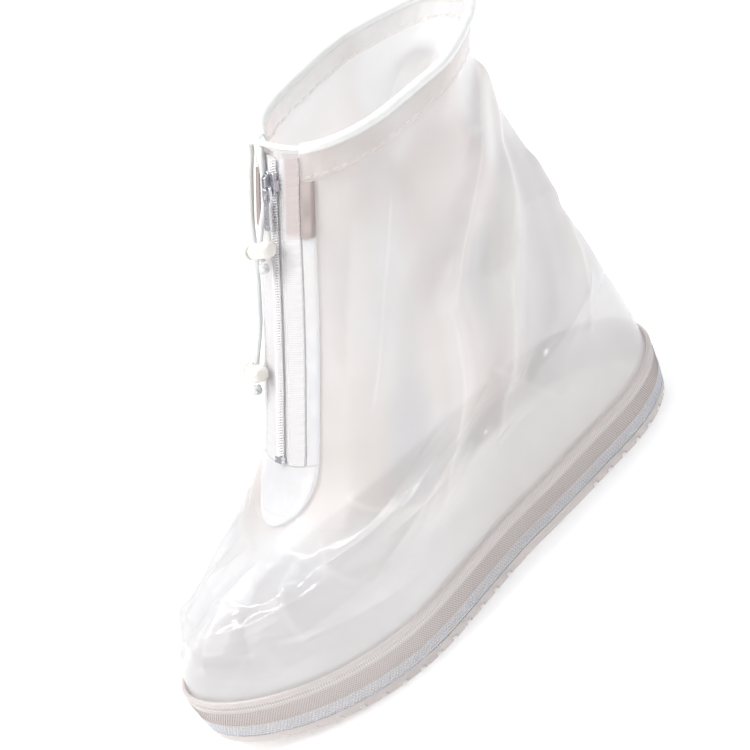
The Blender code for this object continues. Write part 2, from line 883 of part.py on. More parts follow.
def buildSlider(metal):
    # The body rides over the coil, with side flanges beside it and a bridge for the tab.
    place = seatFrame(sliderDrop, 0.0, 0.0)
    top = sliderTop()
    plateLow = top - sliderWall
    flangeLow = coilBase()
    halfWide = sliderWidth / 2
    halfBody = sliderLength / 2
    shoulder = sliderShoulder / 2
    outline = [(-shoulder, -halfBody), (shoulder, -halfBody), (halfWide, -halfBody * 0.35),
               (halfWide, halfBody * 0.7), (shoulder * 0.9, halfBody), (-shoulder * 0.9, halfBody),
               (-halfWide, halfBody * 0.7), (-halfWide, -halfBody * 0.35)]
    shell = bmesh.new()
    addPrism(shell, outline, plateLow, top)
    body = placeMesh("zip_slider", shell, place, metal)
    coilSide = coilWidth / 2 + seatGap
    pieces = []
    for side in (-1, 1):
        flange = bmesh.new()
        inner, outer = side * coilSide, side * (coilSide + flangeWall)
        addPrism(flange, [(inner, -flangeStart), (outer, -flangeStart),
                          (outer, flangeEnd), (inner, flangeEnd)],
                 flangeLow, top - sliderWall / 2)
        pieces.append(placeMesh("slider_flange_guide", flange, place, metal))
    bridge = bmesh.new()
    centre = -halfBody + pivotFromTop
    half = bridgeLength / 2
    base = top - sliderWall / 2
    crown = top + bridgeHeight
    rise = [(-half, base), (-half, crown - bridgeWall), (-half + bridgeWall, crown),
            (half - bridgeWall, crown), (half, crown - bridgeWall), (half, base),
            (half - bridgeWall, base), (half - bridgeWall, crown - bridgeWall * 1.3),
            (half - bridgeWall * 1.4, crown - bridgeWall), (-half + bridgeWall * 1.4, crown - bridgeWall),
            (-half + bridgeWall, crown - bridgeWall * 1.3), (-half + bridgeWall, base)]
    addPrism(bridge, rise, -bridgeWidth / 2, bridgeWidth / 2)
    turn = Matrix(((0, 0, 1, 0), (1, 0, 0, centre), (0, 1, 0, 0), (0, 0, 0, 1)))
    bmesh.ops.transform(bridge, matrix=turn, verts=bridge.verts)
    pieces.append(placeMesh("slider_bridge_guide", bridge, place, metal))
    joinPieces(body, *pieces)
    return body


def tabPivot():
    # The tab turns on its own round bar, which lies inside the bridge, in the slider's own axes.
    barDown = -sliderLength / 2 + pivotFromTop + bridgeLength / 2 - bridgeWall - seatGap - tabWall / 2
    return Vector((0, barDown, sliderTop() + (bridgeHeight - bridgeWall) / 2))


def buildPullTab(metal):
    # A flat tab with an eye for the bridge, and a round bar across the eye's upper end.
    place = seatFrame(sliderDrop, 0.0, 0.0) @ Matrix.Translation(tabPivot())
    half = tabWidth / 2
    neckHalf = half * 0.86
    tipHalf = half * 0.35
    bottom = tabLength - tabWall / 2
    corner = half * 0.5
    right = [(neckHalf, 0), (half, corner), (neckHalf, bottom - corner * 2),
             (half * 0.7, bottom - corner * 0.6), (tipHalf, bottom)]
    outline = right + [(-x, y) for x, y in reversed(right)]
    shell = bmesh.new()
    addPrism(shell, outline, -tabWall / 2, tabWall / 2)
    tab = placeMesh("zip_pull", shell, place, metal)
    eyeHalf = tabEyeWidth / 2
    eyeEnd = tabWall / 2 + tabEyeLength
    eye = bmesh.new()
    addPrism(eye, [(-eyeHalf, -tabWall), (eyeHalf, -tabWall), (eyeHalf, eyeEnd), (-eyeHalf, eyeEnd)],
             -tabWall, tabWall)
    cutter = placeMesh("tab_eye_cutter", eye, place, metal)
    cutter.hide_render = True
    cutter.display_type = "WIRE"
    cut = tab.modifiers.new("eye", "BOOLEAN")
    cut.operation = "DIFFERENCE"
    cut.solver = "EXACT"
    cut.object = cutter
    bar = turnProfile([(-neckHalf, 0), (-neckHalf, tabWall / 2), (neckHalf, tabWall / 2), (neckHalf, 0)],
                      barrelSides)
    joinPieces(tab, placeMesh("tab_bar_guide", bar, place, metal))
    return tab


def buildStop(metal):
    down = zipEndDown() - stopLength / 2 - seatGap
    place = seatFrame(down, 0.0, 0.0)
    shell = bmesh.new()
    low = coilBase()
    half = stopWidth / 2
    outline = [(-half, -stopLength / 2), (half, -stopLength / 2), (half, stopLength / 2),
               (-half, stopLength / 2)]
    addPrism(shell, outline, low, low + stopHeight)
    return placeMesh("zip_stop", shell, place, metal)


# Cord locks


def turnProfile(profile, sides):
    # A turned body about x, from (x, radius) pairs that start and end on the axis.
    shell = bmesh.new()
    rings = []
    for x, radius in profile:
        if radius < 1e-6:
            rings.append([shell.verts.new((x, 0, 0))])
            continue
        ring = []
        for number in range(sides):
            turn = 2 * math.pi * (number + 0.5) / sides
            ring.append(shell.verts.new((x, radius * math.cos(turn), radius * math.sin(turn))))
        rings.append(ring)
    for first, second in zip(rings, rings[1:]):
        for number in range(sides):
            after = (number + 1) % sides
            if len(first) == 1:
                shell.faces.new((first[0], second[number], second[after]))
            elif len(second) == 1:
                shell.faces.new((first[number], second[0], first[after]))
            else:
                shell.faces.new((first[number], second[number], second[after], first[after]))
    return shell


def barrelProfile():
    radius = barrelDiameter / 2
    bore = barrelBore / 2
    start = -holeFromMouth
    end = barrelLength - holeFromMouth
    lip = radius * 0.92
    return [(end, 0), (end, radius * 0.45), (end - radius * 0.22, radius * 0.85),
            (end - radius * 0.55, radius), (start + radius * 0.3, radius), (start, lip),
            (start, bore), (end - barrelEndWall, bore), (end - barrelEndWall, 0)]


def plungerProfile():
    # Shaft in the bore, a narrow neck, and the flared head that a finger presses.
    shaft = plungerShaft / 2
    neck = plungerNeck / 2
    head = plungerHead / 2
    mouth = -holeFromMouth
    inside = crossHole / 2 + plungerTip
    headStart = mouth - seatGap - plungerTravel
    outerEnd = headStart - plungerHeadLength
    return [(inside, 0), (inside, shaft), (mouth + seatGap, shaft), (mouth - seatGap, neck),
            (headStart + headRound, neck), (headStart, head - headRound),
            (headStart - headRound, head), (outerEnd + headRound, head - headRound / 2),
            (outerEnd, head - 2 * headRound), (outerEnd, 0)]


def holeCutter(name, place, halfX, halfZ, reach, material):
    shell = bmesh.new()
    outline = []
    for number in range(10):
        turn = 2 * math.pi * number / 10
        side = halfX - halfZ if math.cos(turn) > 0 else halfZ - halfX
        outline.append((side + halfZ * math.cos(turn), halfZ * math.sin(turn)))
    addPrism(shell, outline, -reach, reach)
    turn = Matrix(((1, 0, 0, 0), (0, 0, 1, 0), (0, -1, 0, 0), (0, 0, 0, 1)))
    bmesh.ops.transform(shell, matrix=turn, verts=shell.verts)
    cutter = placeMesh(name, shell, place, material)
    cutter.hide_render = True
    cutter.display_type = "WIRE"
    return cutter


def buildLock(name, place, material):
    # The cord crosses the lock along its local y, through the barrel and the plunger's slot.
    barrel = placeMesh("toggle_barrel_" + name, turnProfile(barrelProfile(), barrelSides), place, material)
    plunger = placeMesh("toggle_plunger_" + name, turnProfile(plungerProfile(), barrelSides), place,
                        material)
    hole = crossHole / 2
    slotPlace = place @ Matrix.Translation((-plungerTravel / 2, 0, 0))
    through = holeCutter("barrel_hole_cutter_" + name, place, hole, hole, barrelDiameter, material)
    slot = holeCutter("plunger_slot_cutter_" + name, slotPlace, hole + plungerTravel / 2, hole,
                      barrelDiameter, material)
    for thing, cutter in ((barrel, through), (plunger, slot)):
        cut = thing.modifiers.new("cord hole", "BOOLEAN")
        cut.operation = "DIFFERENCE"
        cut.solver = "EXACT"
        cut.object = cutter


def buildKnot(name, place, material):
    radius = knotDiameter / 2
    half = knotLength / 2
    profile = [(-half, 0), (-half, radius * 0.5), (-half * 0.55, radius * 0.95), (0, radius * 0.86),
               (half * 0.55, radius * 0.95), (half, radius * 0.5), (half, 0)]
    shell = turnProfile(profile, 12)
    turn = Matrix(((0, 1, 0, 0), (1, 0, 0, 0), (0, 0, 1, 0), (0, 0, 0, 1)))
    bmesh.ops.transform(shell, matrix=turn, verts=shell.verts)
    return placeMesh(name, shell, place, material)


def buildFreeEnd(name, route, tilt, elastic, moulded):
    # One free end of the drawcord, with its lock and the knot that keeps the lock on.
    points = [seatPoint(*row) for row in route]
    smooth = smoothRoute(points, cordDiameter * 2)
    buildCord("cord_end_" + name, smooth, elastic)
    row = route[-2]
    axis = (points[-1] - points[-3]).normalized()
    outward = filmNormal(angleAside(row.aside, alongDown(row.down)), alongDown(row.down))
    outward = (outward - axis * outward.dot(axis)).normalized()
    turn = Matrix((axis.cross(outward), axis, outward)).transposed().to_4x4()
    place = (Matrix.Translation(points[-2]) @ turn @ Matrix.Rotation(math.radians(tilt), 4, "Y")
             @ Matrix.Rotation(math.pi, 4, "Z"))
    buildLock(name, place, moulded)
    knotMiddle = points[-1] + (smooth[-1] - smooth[-2]).normalized() * (knotLength / 2 + seatGap)
    buildKnot("cord_knot_" + name, Matrix.Translation(knotMiddle) @ turn, elastic)


def main():
    clearScene()
    film = makeMaterial("frosted_film", (0.86, 0.86, 0.85), 0.28, alpha=0.5)
    sole = makeMaterial("sole_film", (0.62, 0.58, 0.56), 0.45)
    knit = makeMaterial("knit_tape", (0.85, 0.85, 0.84), 0.85)
    nylon = makeMaterial("nylon_coil", (0.88, 0.88, 0.88), 0.45)
    elastic = makeMaterial("elastic_cord", (0.87, 0.87, 0.85), 0.80)
    metal = makeMaterial("slider_metal", (0.72, 0.72, 0.73), 0.30, metallic=1.0)
    moulded = makeMaterial("lock_plastic", (0.86, 0.85, 0.80), 0.28)

    buildUpper(film)
    buildSoleTray(sole)
    buildCasing(film)
    buildHemCord(elastic)
    buildTapes(knit)
    buildCoil(nylon)
    buildPlackets(film)
    buildEndPatch(film)
    buildSlider(metal)
    buildPullTab(metal)
    buildStop(metal)
    buildFreeEnd("short", shortRoute, shortLockTilt, elastic, moulded)
    buildFreeEnd("long", longRoute, longLockTilt, elastic, moulded)


main()
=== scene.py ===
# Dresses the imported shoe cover: frosted film, woven zip tape, braided cord, moulded sole.
import math

import bmesh
import bpy
import numpy as np
from mathutils import Matrix, Vector


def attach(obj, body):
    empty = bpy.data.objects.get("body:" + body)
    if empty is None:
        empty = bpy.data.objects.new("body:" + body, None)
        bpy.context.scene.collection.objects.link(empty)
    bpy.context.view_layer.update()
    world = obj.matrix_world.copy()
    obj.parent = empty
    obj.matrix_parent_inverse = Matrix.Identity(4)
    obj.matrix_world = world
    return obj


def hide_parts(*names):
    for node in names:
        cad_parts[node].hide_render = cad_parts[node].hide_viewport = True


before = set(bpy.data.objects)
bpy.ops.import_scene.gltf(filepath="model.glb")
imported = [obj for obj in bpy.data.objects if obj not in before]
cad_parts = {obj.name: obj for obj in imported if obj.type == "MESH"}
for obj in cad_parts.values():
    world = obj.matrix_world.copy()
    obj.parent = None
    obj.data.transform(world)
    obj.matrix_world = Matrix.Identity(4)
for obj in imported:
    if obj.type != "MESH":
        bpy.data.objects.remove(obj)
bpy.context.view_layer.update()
print("frame loaded")


# Shape of the film, repeated from the solids: metres, +Z up, toe towards -Y, wearer's left at +X
cover = {
    "soleLength": 0.2935,
    "ballWidth": 0.107,
    "waistWidth": 0.089,
    "heelWidth": 0.082,
    "toeBoxHeight": 0.064,
    "toeSpring": 0.009,
    "toeSpringStart": -0.058,
    "toeSwing": 0.006,
    "coverHeight": 0.236,
    "collarLength": 0.122,
    "collarWidth": 0.080,
    "collarSetback": 0.004,
    "achillesDip": 0.021,
    "filmWall": 0.0012,
    "gap": 0.0003,
    "cordDiameter": 0.0028,
    "hemWall": 0.0010,
    "hemDepth": 0.013,
    "treadDepth": 0.0022,
    "solePlate": 0.003,
    "soleWall": 0.0018,
    "soleWallHeight": 0.027,
    "zipEnd": 5.35,
    "slit": 0.006,
}

# One row for each ring of the film, sole edge to collar
# front, toe, top, dip, backToe, backTop, collar, ball, waist, heel, nose, tail
rings = np.array([
    (0.018, 0.00, 0.00, 0.14, 0.00, 0.00, 0.00, 0.95, 0.94, 0.95, 0.36, 0.20),
    (0.000, 0.36, 0.00, 0.00, 0.36, 0.00, 0.00, 1.00, 1.00, 1.00, 0.36, 0.20),
    (0.046, 0.74, 0.00, 0.04, 0.74, 0.00, 0.00, 1.00, 1.02, 1.01, 0.36, 0.21),
    (0.180, 1.00, 0.01, 0.18, 1.00, 0.06, 0.10, 0.98, 1.03, 1.00, 0.36, 0.22),
    (0.370, 1.00, 0.07, 0.32, 1.00, 0.20, 0.25, 1.01, 1.03, 0.98, 0.33, 0.24),
    (0.520, 1.00, 0.17, 0.46, 1.00, 0.36, 0.45, 1.01, 1.02, 0.96, 0.29, 0.27),
    (0.650, 1.00, 0.37, 0.62, 1.00, 0.52, 0.65, 0.98, 1.01, 0.95, 0.29, 0.31),
    (0.775, 1.00, 0.59, 0.80, 1.00, 0.68, 0.80, 0.93, 0.99, 0.93, 0.32, 0.36),
    (0.890, 1.00, 0.80, 0.96, 1.00, 0.84, 0.92, 0.95, 0.98, 0.90, 0.33, 0.41),
    (1.000, 1.00, 1.00, 0.19, 1.00, 1.00, 1.00, 0.96, 1.00, 0.88, 0.36, 0.46),
])
topRing = len(rings) - 1.0

# How full the plan is at the toe and the heel, and the shares of the length where its widths meet
plan = {"nosePower": 2.1, "tailPower": 2.2, "ballEnd": 0.28, "waist": 0.60, "heelStart": 0.86}

halfLength = cover["soleLength"] / 2
collarBack = halfLength - cover["collarSetback"]
collarFront = collarBack - cover["collarLength"]
soleTop = cover["treadDepth"] + cover["solePlate"]
filmFoot = soleTop + cover["gap"]
cordRise = cover["gap"] * 2 + cover["cordDiameter"] / 2
filmTop = cover["coverHeight"] - cover["gap"] * 3 - cover["cordDiameter"] - cover["hemWall"]


def blend(low, high, share):
    return low + (high - low) * share


def smoothStep(low, high, value):
    share = np.clip((np.asarray(value, float) - low) / (high - low), 0.0, 1.0)
    return share * share * (3 - 2 * share)


def curveThrough(rows, at):
    # a smooth curve through the rows, read at row numbers with a fraction
    at = np.asarray(at, float)
    last = len(rows) - 1
    first = np.clip(np.floor(at).astype(int), 0, last - 1)
    part = (at - first)[..., None]
    start = rows[first]
    end = rows[first + 1]
    before = np.where((first == 0)[..., None], 2 * start - end, rows[np.maximum(first - 1, 0)])
    after = np.where((first + 2 > last)[..., None], 2 * end - start, rows[np.minimum(first + 2, last)])
    rise = (end - before) / 2
    fall = (after - start) / 2
    square = part * part
    cube = square * part
    return ((2 * cube - 3 * square + 1) * start + (cube - 2 * square + part) * rise
            + (3 * square - 2 * cube) * end + (cube - square) * fall)


def toeShare(y):
    start = cover["toeSpringStart"]
    return np.clip((start - y) / (start + halfLength), 0.0, 1.0) ** 2


def plainPoints(angle, along):
    # points of the film without its folds, from the angle round the ring and the ring number
    angle, along = np.broadcast_arrays(np.asarray(angle, float), np.asarray(along, float))
    ring = curveThrough(rings, along)
    front, toe, top, dip, backToe, backTop, collar, ball, waist, heel, nose, tail = np.moveaxis(ring, -1, 0)
    share = (1 - np.cos(angle)) / 2
    toeRise = cover["toeBoxHeight"] - filmFoot
    topRise = filmTop - cover["toeBoxHeight"]
    y = blend(blend(-halfLength, collarFront, front), halfLength - cover["achillesDip"] * dip, share)
    z = blend(toe * toeRise + top * topRise, backToe * toeRise + backTop * topRise, share) + filmFoot
    collarHalf = cover["collarWidth"] / 2
    ballHalf = ball * blend(cover["ballWidth"] / 2, collarHalf, collar)
    waistHalf = waist * blend(cover["waistWidth"] / 2, collarHalf, collar)
    heelHalf = heel * blend(cover["heelWidth"] / 2, collarHalf, collar)
    width = blend(ballHalf, waistHalf, smoothStep(plan["ballEnd"], plan["waist"], share))
    width = blend(width, heelHalf, smoothStep(plan["waist"], plan["heelStart"], share))
    noseSide = np.clip(1 - share / nose, 0.0, 1.0)
    tailSide = np.clip(1 - (1 - share) / tail, 0.0, 1.0)
    width = width * np.sqrt(np.maximum(1 - noseSide ** plan["nosePower"], 0.0))
    width = width * np.sqrt(np.maximum(1 - tailSide ** plan["tailPower"], 0.0))
    x = np.copysign(width, np.sin(angle))
    lift = toeShare(y)
    return np.stack([x - cover["toeSwing"] * lift, y, z + cover["toeSpring"] * lift], axis=-1)


def unit(vectors):
    return vectors / np.maximum(np.linalg.norm(vectors, axis=-1, keepdims=True), 1e-12)


def outward(points, angle, along):
    nudge = 0.01
    around = points(angle + nudge, along) - points(angle - nudge, along)
    low = np.maximum(np.asarray(along) - nudge, 0.0)
    high = np.minimum(np.asarray(along) + nudge, topRing)
    return unit(np.cross(around, points(angle, high) - points(angle, low)))


# Main folds: from angle and ring, to angle and ring (degrees from the toe, plus to the wearer's
# left), height and width as shares of the sizes below. The unrolled film is girth by rise.
foldLook = {"height": 0.0040, "width": 0.0100, "girth": 0.046, "rise": 0.026}
folds = [
    (165, 8.2, 112, 5.6, 0.75, 0.60), (112, 5.6, 98, 3.0, 0.75, 0.70),
    (150, 8.0, 86, 6.2, 0.70, 0.70), (86, 6.2, 82, 2.6, 0.70, 0.80),
    (156, 5.8, 124, 3.2, 0.60, 0.70), (140, 6.8, 114, 3.4, -0.90, 1.00),
    (110, 7.0, 92, 3.6, -0.90, 1.00), (62, 6.6, 60, 4.2, -0.60, 1.30),
    (80, 7.8, 48, 6.4, 0.40, 1.20), (16, 4.2, 56, 2.6, -0.60, 0.70),
    (-14, 4.0, -60, 2.8, -0.65, 0.80), (-150, 8.0, -104, 5.4, 0.75, 0.70),
    (-104, 5.4, -92, 2.8, 0.70, 0.80), (-158, 6.0, -126, 3.2, 0.60, 0.80),
    (-132, 6.8, -112, 3.4, -0.90, 1.00), (-84, 7.2, -68, 3.8, -0.80, 1.10),
]


def lineDistance(angle, along, fold):
    # distance on the unrolled film from a fold's line, and how far along it the nearest point is
    girth, rise = foldLook["girth"], foldLook["rise"]
    startX, startY = math.radians(fold[0]) * girth, fold[1] * rise
    lineX, lineY = math.radians(fold[2]) * girth - startX, fold[3] * rise - startY
    hereX, hereY = angle * girth - startX, along * rise - startY
    share = np.clip((hereX * lineX + hereY * lineY) / (lineX ** 2 + lineY ** 2), 0.0, 1.0)
    return np.hypot(hereX - lineX * share, hereY - lineY * share), share


# Where the film may fold or crease, from not at all to in full: in rings from the sole and from
# the hem, in degrees beside the zip and in rings below it
foldRoom = {"sole": (0.9, 2.6), "hem": (0.5, 1.1), "beside": (20, 42), "below": (0.8, 1.4)}
creaseRoom = {"sole": (1.0, 1.7), "hem": (0.42, 0.9), "beside": (24, 38), "below": (1.3, 1.9)}


def wrapped(angle):
    # the same angle, within half a turn of the toe
    return np.mod(np.asarray(angle, float) + np.pi, 2 * np.pi) - np.pi


def openShare(angle, along, room):
    # 1 on the open film, 0 at the sole, the hem and the zip, where it lies on its neighbours
    sole = smoothStep(*room["sole"], along)
    hem = smoothStep(*room["hem"], topRing - along)
    beside = smoothStep(*room["beside"], np.degrees(np.abs(wrapped(angle))))
    below = smoothStep(*room["below"], cover["zipEnd"] - along)
    return sole * hem * np.maximum(beside, below)


def foldHeight(angle, along):
    angle = wrapped(angle)
    along = np.asarray(along, float)
    height = np.zeros(np.broadcast(angle, along).shape)
    for fold in folds:
        # a fold near the heel is read from both sides of the seam line
        for turn in (0.0, 2 * np.pi, -2 * np.pi):
            away, _ = lineDistance(angle + turn, along, fold)
            if turn and away.min() > foldLook["width"] * 3:
                continue
            away = away / (foldLook["width"] * fold[5])
            height = height + foldLook["height"] * fold[4] * np.exp(-away * away)
    return height * openShare(angle, along, foldRoom)


def foldedPoints(angle, along):
    angle, along = np.broadcast_arrays(np.asarray(angle, float), np.asarray(along, float))
    height = foldHeight(angle, along)
    return plainPoints(angle, along) + outward(plainPoints, angle, along) * height[..., None]


def filmNormals(angle, along):
    normals = outward(foldedPoints, np.asarray(angle, float), np.asarray(along, float))
    level = np.clip(np.asarray(along, float) / 0.5, 0.0, 1.0)
    normals[..., 2] = normals[..., 2] * level
    return unit(normals)


# Places beside the zip: distance down from the film's top edge, and aside from its middle line
asideAngles = np.linspace(0.0, 1.3, 53)
ringNumbers = np.linspace(0.0, topRing, 361)
sideWalk = foldedPoints(asideAngles[None, :], ringNumbers[:, None])
sideLengths = np.concatenate([np.zeros((len(ringNumbers), 1)), np.cumsum(
    np.linalg.norm(np.diff(sideWalk, axis=1), axis=-1), axis=1)], axis=1)
zipWalk = sideWalk[::-1, 0]
zipDowns = np.concatenate([[0.0], np.cumsum(np.linalg.norm(np.diff(zipWalk, axis=0), axis=-1))])


def ringAtDown(down):
    return np.interp(down, zipDowns, ringNumbers[::-1])


def downAtRing(along):
    return np.interp(along, ringNumbers, zipDowns[::-1])


def angleAside(aside, along):
    aside, along = np.broadcast_arrays(np.asarray(aside, float), np.asarray(along, float))
    place = np.clip(along / topRing * (len(ringNumbers) - 1), 0, len(ringNumbers) - 1.000001)
    first = np.floor(place).astype(int)
    part = (place - first)[..., None]
    lengths = blend(sideLengths[first], sideLengths[first + 1], part)
    reach = np.abs(aside)[..., None]
    column = np.clip((lengths < reach).sum(axis=-1, keepdims=True) - 1, 0, len(asideAngles) - 2)
    low = np.take_along_axis(lengths, column, axis=-1)
    high = np.take_along_axis(lengths, column + 1, axis=-1)
    share = np.clip((reach - low) / (high - low), 0.0, 1.0)
    step = asideAngles[1]
    return np.copysign(((column + share) * step)[..., 0], aside)


def seatPoints(down, aside, above):
    # points over the film's outer face
    down, aside, above = np.broadcast_arrays(
        np.asarray(down, float), np.asarray(aside, float), np.asarray(above, float))
    along = ringAtDown(np.maximum(down, 0.0))
    angle = angleAside(aside, along)
    normals = filmNormals(angle, along)
    points = foldedPoints(angle, along) + normals * (cover["filmWall"] / 2 + above)[..., None]
    upward = unit(foldedPoints(angle, topRing) - foldedPoints(angle, topRing - 0.1))
    return points + upward * np.maximum(-down, 0.0)[..., None]


def seatFrame(down, aside, above):
    # axes on the film: x beside the zip, y down it, z out of the film
    origin = Vector(seatPoints(down, aside, above))
    along = ringAtDown(max(down, 0.0))
    out = Vector(filmNormals(angleAside(aside, along), along))
    downward = Vector(seatPoints(down + 0.002, aside, above) - seatPoints(down - 0.002, aside, above))
    downward = (downward - out * downward.dot(out)).normalized()
    turn = Matrix((downward.cross(out), downward, out)).transposed().to_4x4()
    return Matrix.Translation(origin) @ turn


# Mesh helpers


def gridFaces(rows, columns, closed=False):
    faces = []
    for row in range(rows - 1):
        for column in range(columns if closed else columns - 1):
            after = (column + 1) % columns
            faces.append((row * columns + column, row * columns + after,
                          (row + 1) * columns + after, (row + 1) * columns + column))
    return faces


def laidOut(first, second):
    # places for storeCoordinates from two values a point
    first, second = np.broadcast_arrays(first, second)
    return np.stack([first, second, np.zeros(first.shape)], axis=-1)


def swell(value, middle, width, rise):
    # a soft ridge, or a groove where the rise is below zero
    return rise * np.exp(-((value - middle) / width) ** 2)


def makePiece(name, points, faces, finish, body="cover", replaces=(), slot=None, sharp=40, laid=None,
              facesOut=True):
    mesh = bpy.data.meshes.new(name)
    mesh.from_pydata(np.asarray(points, float).reshape(-1, 3).tolist(), [], faces)
    mesh.validate()
    mesh.shade_smooth()
    if sharp:
        mesh.set_sharp_from_angle(angle=math.radians(sharp))
    piece = bpy.data.objects.new(name, mesh)
    bpy.context.scene.collection.objects.link(piece)
    settle(piece, finish, body, replaces, slot)
    if facesOut:
        recalcNormals(piece)
    if laid is not None:
        storeCoordinates(piece, "laid", laid)
    return piece


def settle(piece, finish, body, replaces, slot):
    piece.data.materials.append(finish)
    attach(piece, body)
    if replaces:
        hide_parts(*replaces)
    return piece


def recalcNormals(piece):
    shell = bmesh.new()
    shell.from_mesh(piece.data)
    bmesh.ops.recalc_face_normals(shell, faces=shell.faces)
    shell.to_mesh(piece.data)
    shell.free()


def storeCoordinates(piece, name, values):
    # a laid-out place for every vertex, in metres, for the finishes to read
    held = piece.data.attributes.new(name, "FLOAT_VECTOR", "POINT")
    held.data.foreach_set("vector", np.asarray(values, np.float32).ravel())


# Shader helpers


class Wire:
    # a socket of a finish: + - * / between wires and numbers add the Math nodes
    def __init__(self, finish, socket):
        self.finish = finish
        self.socket = socket

    def maths(self, operation, first, second=0.0):
        return self.finish.node("ShaderNodeMath", {"operation": operation}, {0: first, 1: second})

    def __add__(self, other):
        return self.maths("ADD", self, other)

    def __radd__(self, other):
        return self.maths("ADD", other, self)

    def __sub__(self, other):
        return self.maths("SUBTRACT", self, other)

    def __rsub__(self, other):
        return self.maths("SUBTRACT", other, self)

    def __mul__(self, other):
        return self.maths("MULTIPLY", self, other)

    def __rmul__(self, other):
        return self.maths("MULTIPLY", other, self)

    def __truediv__(self, other):
        return self.maths("DIVIDE", self, other)

    def __pow__(self, other):
        return self.maths("POWER", self, other)

    def sine(self):
        return self.maths("SINE", self)

    def absolute(self):
        return self.maths("ABSOLUTE", self)


class Finish:
    # one material and its nodes
    def __init__(self, name, colour):
        self.material = bpy.data.materials.new(name)
        self.material.use_nodes = True
        self.material.diffuse_color = (*colour, 1.0)
        self.tree = self.material.node_tree
        self.tree.nodes.clear()

    def node(self, kind, settings, inputs, output=0):
        made = self.tree.nodes.new(kind)
        for key, value in settings.items():
            setattr(made, key, value)
        for key, value in inputs.items():
            if isinstance(value, Wire):
                self.tree.links.new(value.socket, made.inputs[key])
            else:
                made.inputs[key].default_value = value
        return Wire(self, made.outputs[output])

    def place(self, name=None):
        # where on the piece: its own laid-out attribute, or the object's space
        if name:
            return self.node("ShaderNodeAttribute", {"attribute_name": name}, {}, "Vector")
        return self.node("ShaderNodeTexCoord", {}, {}, "Object")

    def axes(self, vector):
        return [self.node("ShaderNodeSeparateXYZ", {}, {0: vector}, axis) for axis in range(3)]

    def noise(self, vector, scale, detail=2.0, roughness=0.5, distortion=0.0):
        return self.node("ShaderNodeTexNoise", {}, {
            "Vector": vector, "Scale": scale, "Detail": detail,
            "Roughness": roughness, "Distortion": distortion}, "Fac")

    def mix(self, factor, low, high):
        return self.node("ShaderNodeMix", {"data_type": "RGBA"}, {
            0: factor, 6: self.colour(low), 7: self.colour(high)}, 2)

    def colour(self, value):
        return value if isinstance(value, Wire) else (*value, 1.0)

    def spread(self, value, low, high, outLow=0.0, outHigh=1.0):
        # a value taken from one range to another, with soft ends
        return self.node("ShaderNodeMapRange", {"interpolation_type": "SMOOTHSTEP"}, {
            "Value": value, "From Min": low, "From Max": high, "To Min": outLow, "To Max": outHigh})

    def band(self, value, start, full, fade, end):
        # 1 from full to fade, 0 before start and after end
        return self.spread(value, start, full) * self.spread(value, fade, end, 1.0, 0.0)

    def bump(self, height, distance, strength=1.0, under=None):
        inputs = {"Height": height, "Distance": distance, "Strength": strength}
        if under is not None:
            inputs["Normal"] = under
        return self.node("ShaderNodeBump", {}, inputs, "Normal")

    def surface(self, shader):
        end = self.tree.nodes.new("ShaderNodeOutputMaterial")
        self.tree.links.new(shader.socket, end.inputs["Surface"])
        return self.material

    def throughSurface(self, shader, share, base, normal):
        # a share of the light passes through and comes out behind
        through = self.node("ShaderNodeBsdfTranslucent", {}, {"Color": base, "Normal": normal}, "BSDF")
        return self.surface(self.node("ShaderNodeMixShader", {}, {0: share, 1: shader, 2: through}))

    def principled(self, inputs):
        values = dict(inputs)
        if "Base Color" in values:
            values["Base Color"] = self.colour(values["Base Color"])
        return self.node("ShaderNodeBsdfPrincipled", {}, values, "BSDF")


# Camera, floor and light

view = {
    "azimuth": 63.2,  # degrees, 0 looks along +Y
    "elevation": 31.0,
    "roll": -28.2,
    "target": (-0.002, 0.012, 0.104),
    "distance": 1.885,
    "lens": 192.0,
    "sensor": 36.0,
}


def viewAxes():
    azimuth, elevation = math.radians(view["azimuth"]), math.radians(view["elevation"])
    back = Vector((math.sin(azimuth) * math.cos(elevation), -math.cos(azimuth) * math.cos(elevation),
                   math.sin(elevation)))
    level = Vector((math.cos(azimuth), math.sin(azimuth), 0.0))
    right = Matrix.Rotation(math.radians(view["roll"]), 3, back) @ level
    return right, back.cross(right), back


def placeCamera():
    right, up, back = viewAxes()
    lens = bpy.data.cameras.new("camera")
    lens.lens = view["lens"]
    lens.sensor_width = view["sensor"]
    lens.clip_end = 20.0
    camera = bpy.data.objects.new("camera", lens)
    turn = Matrix((right, up, back)).transposed().to_4x4()
    camera.matrix_world = Matrix.Translation(Vector(view["target"]) + back * view["distance"]) @ turn
    bpy.context.scene.collection.objects.link(camera)
    bpy.context.scene.camera = camera


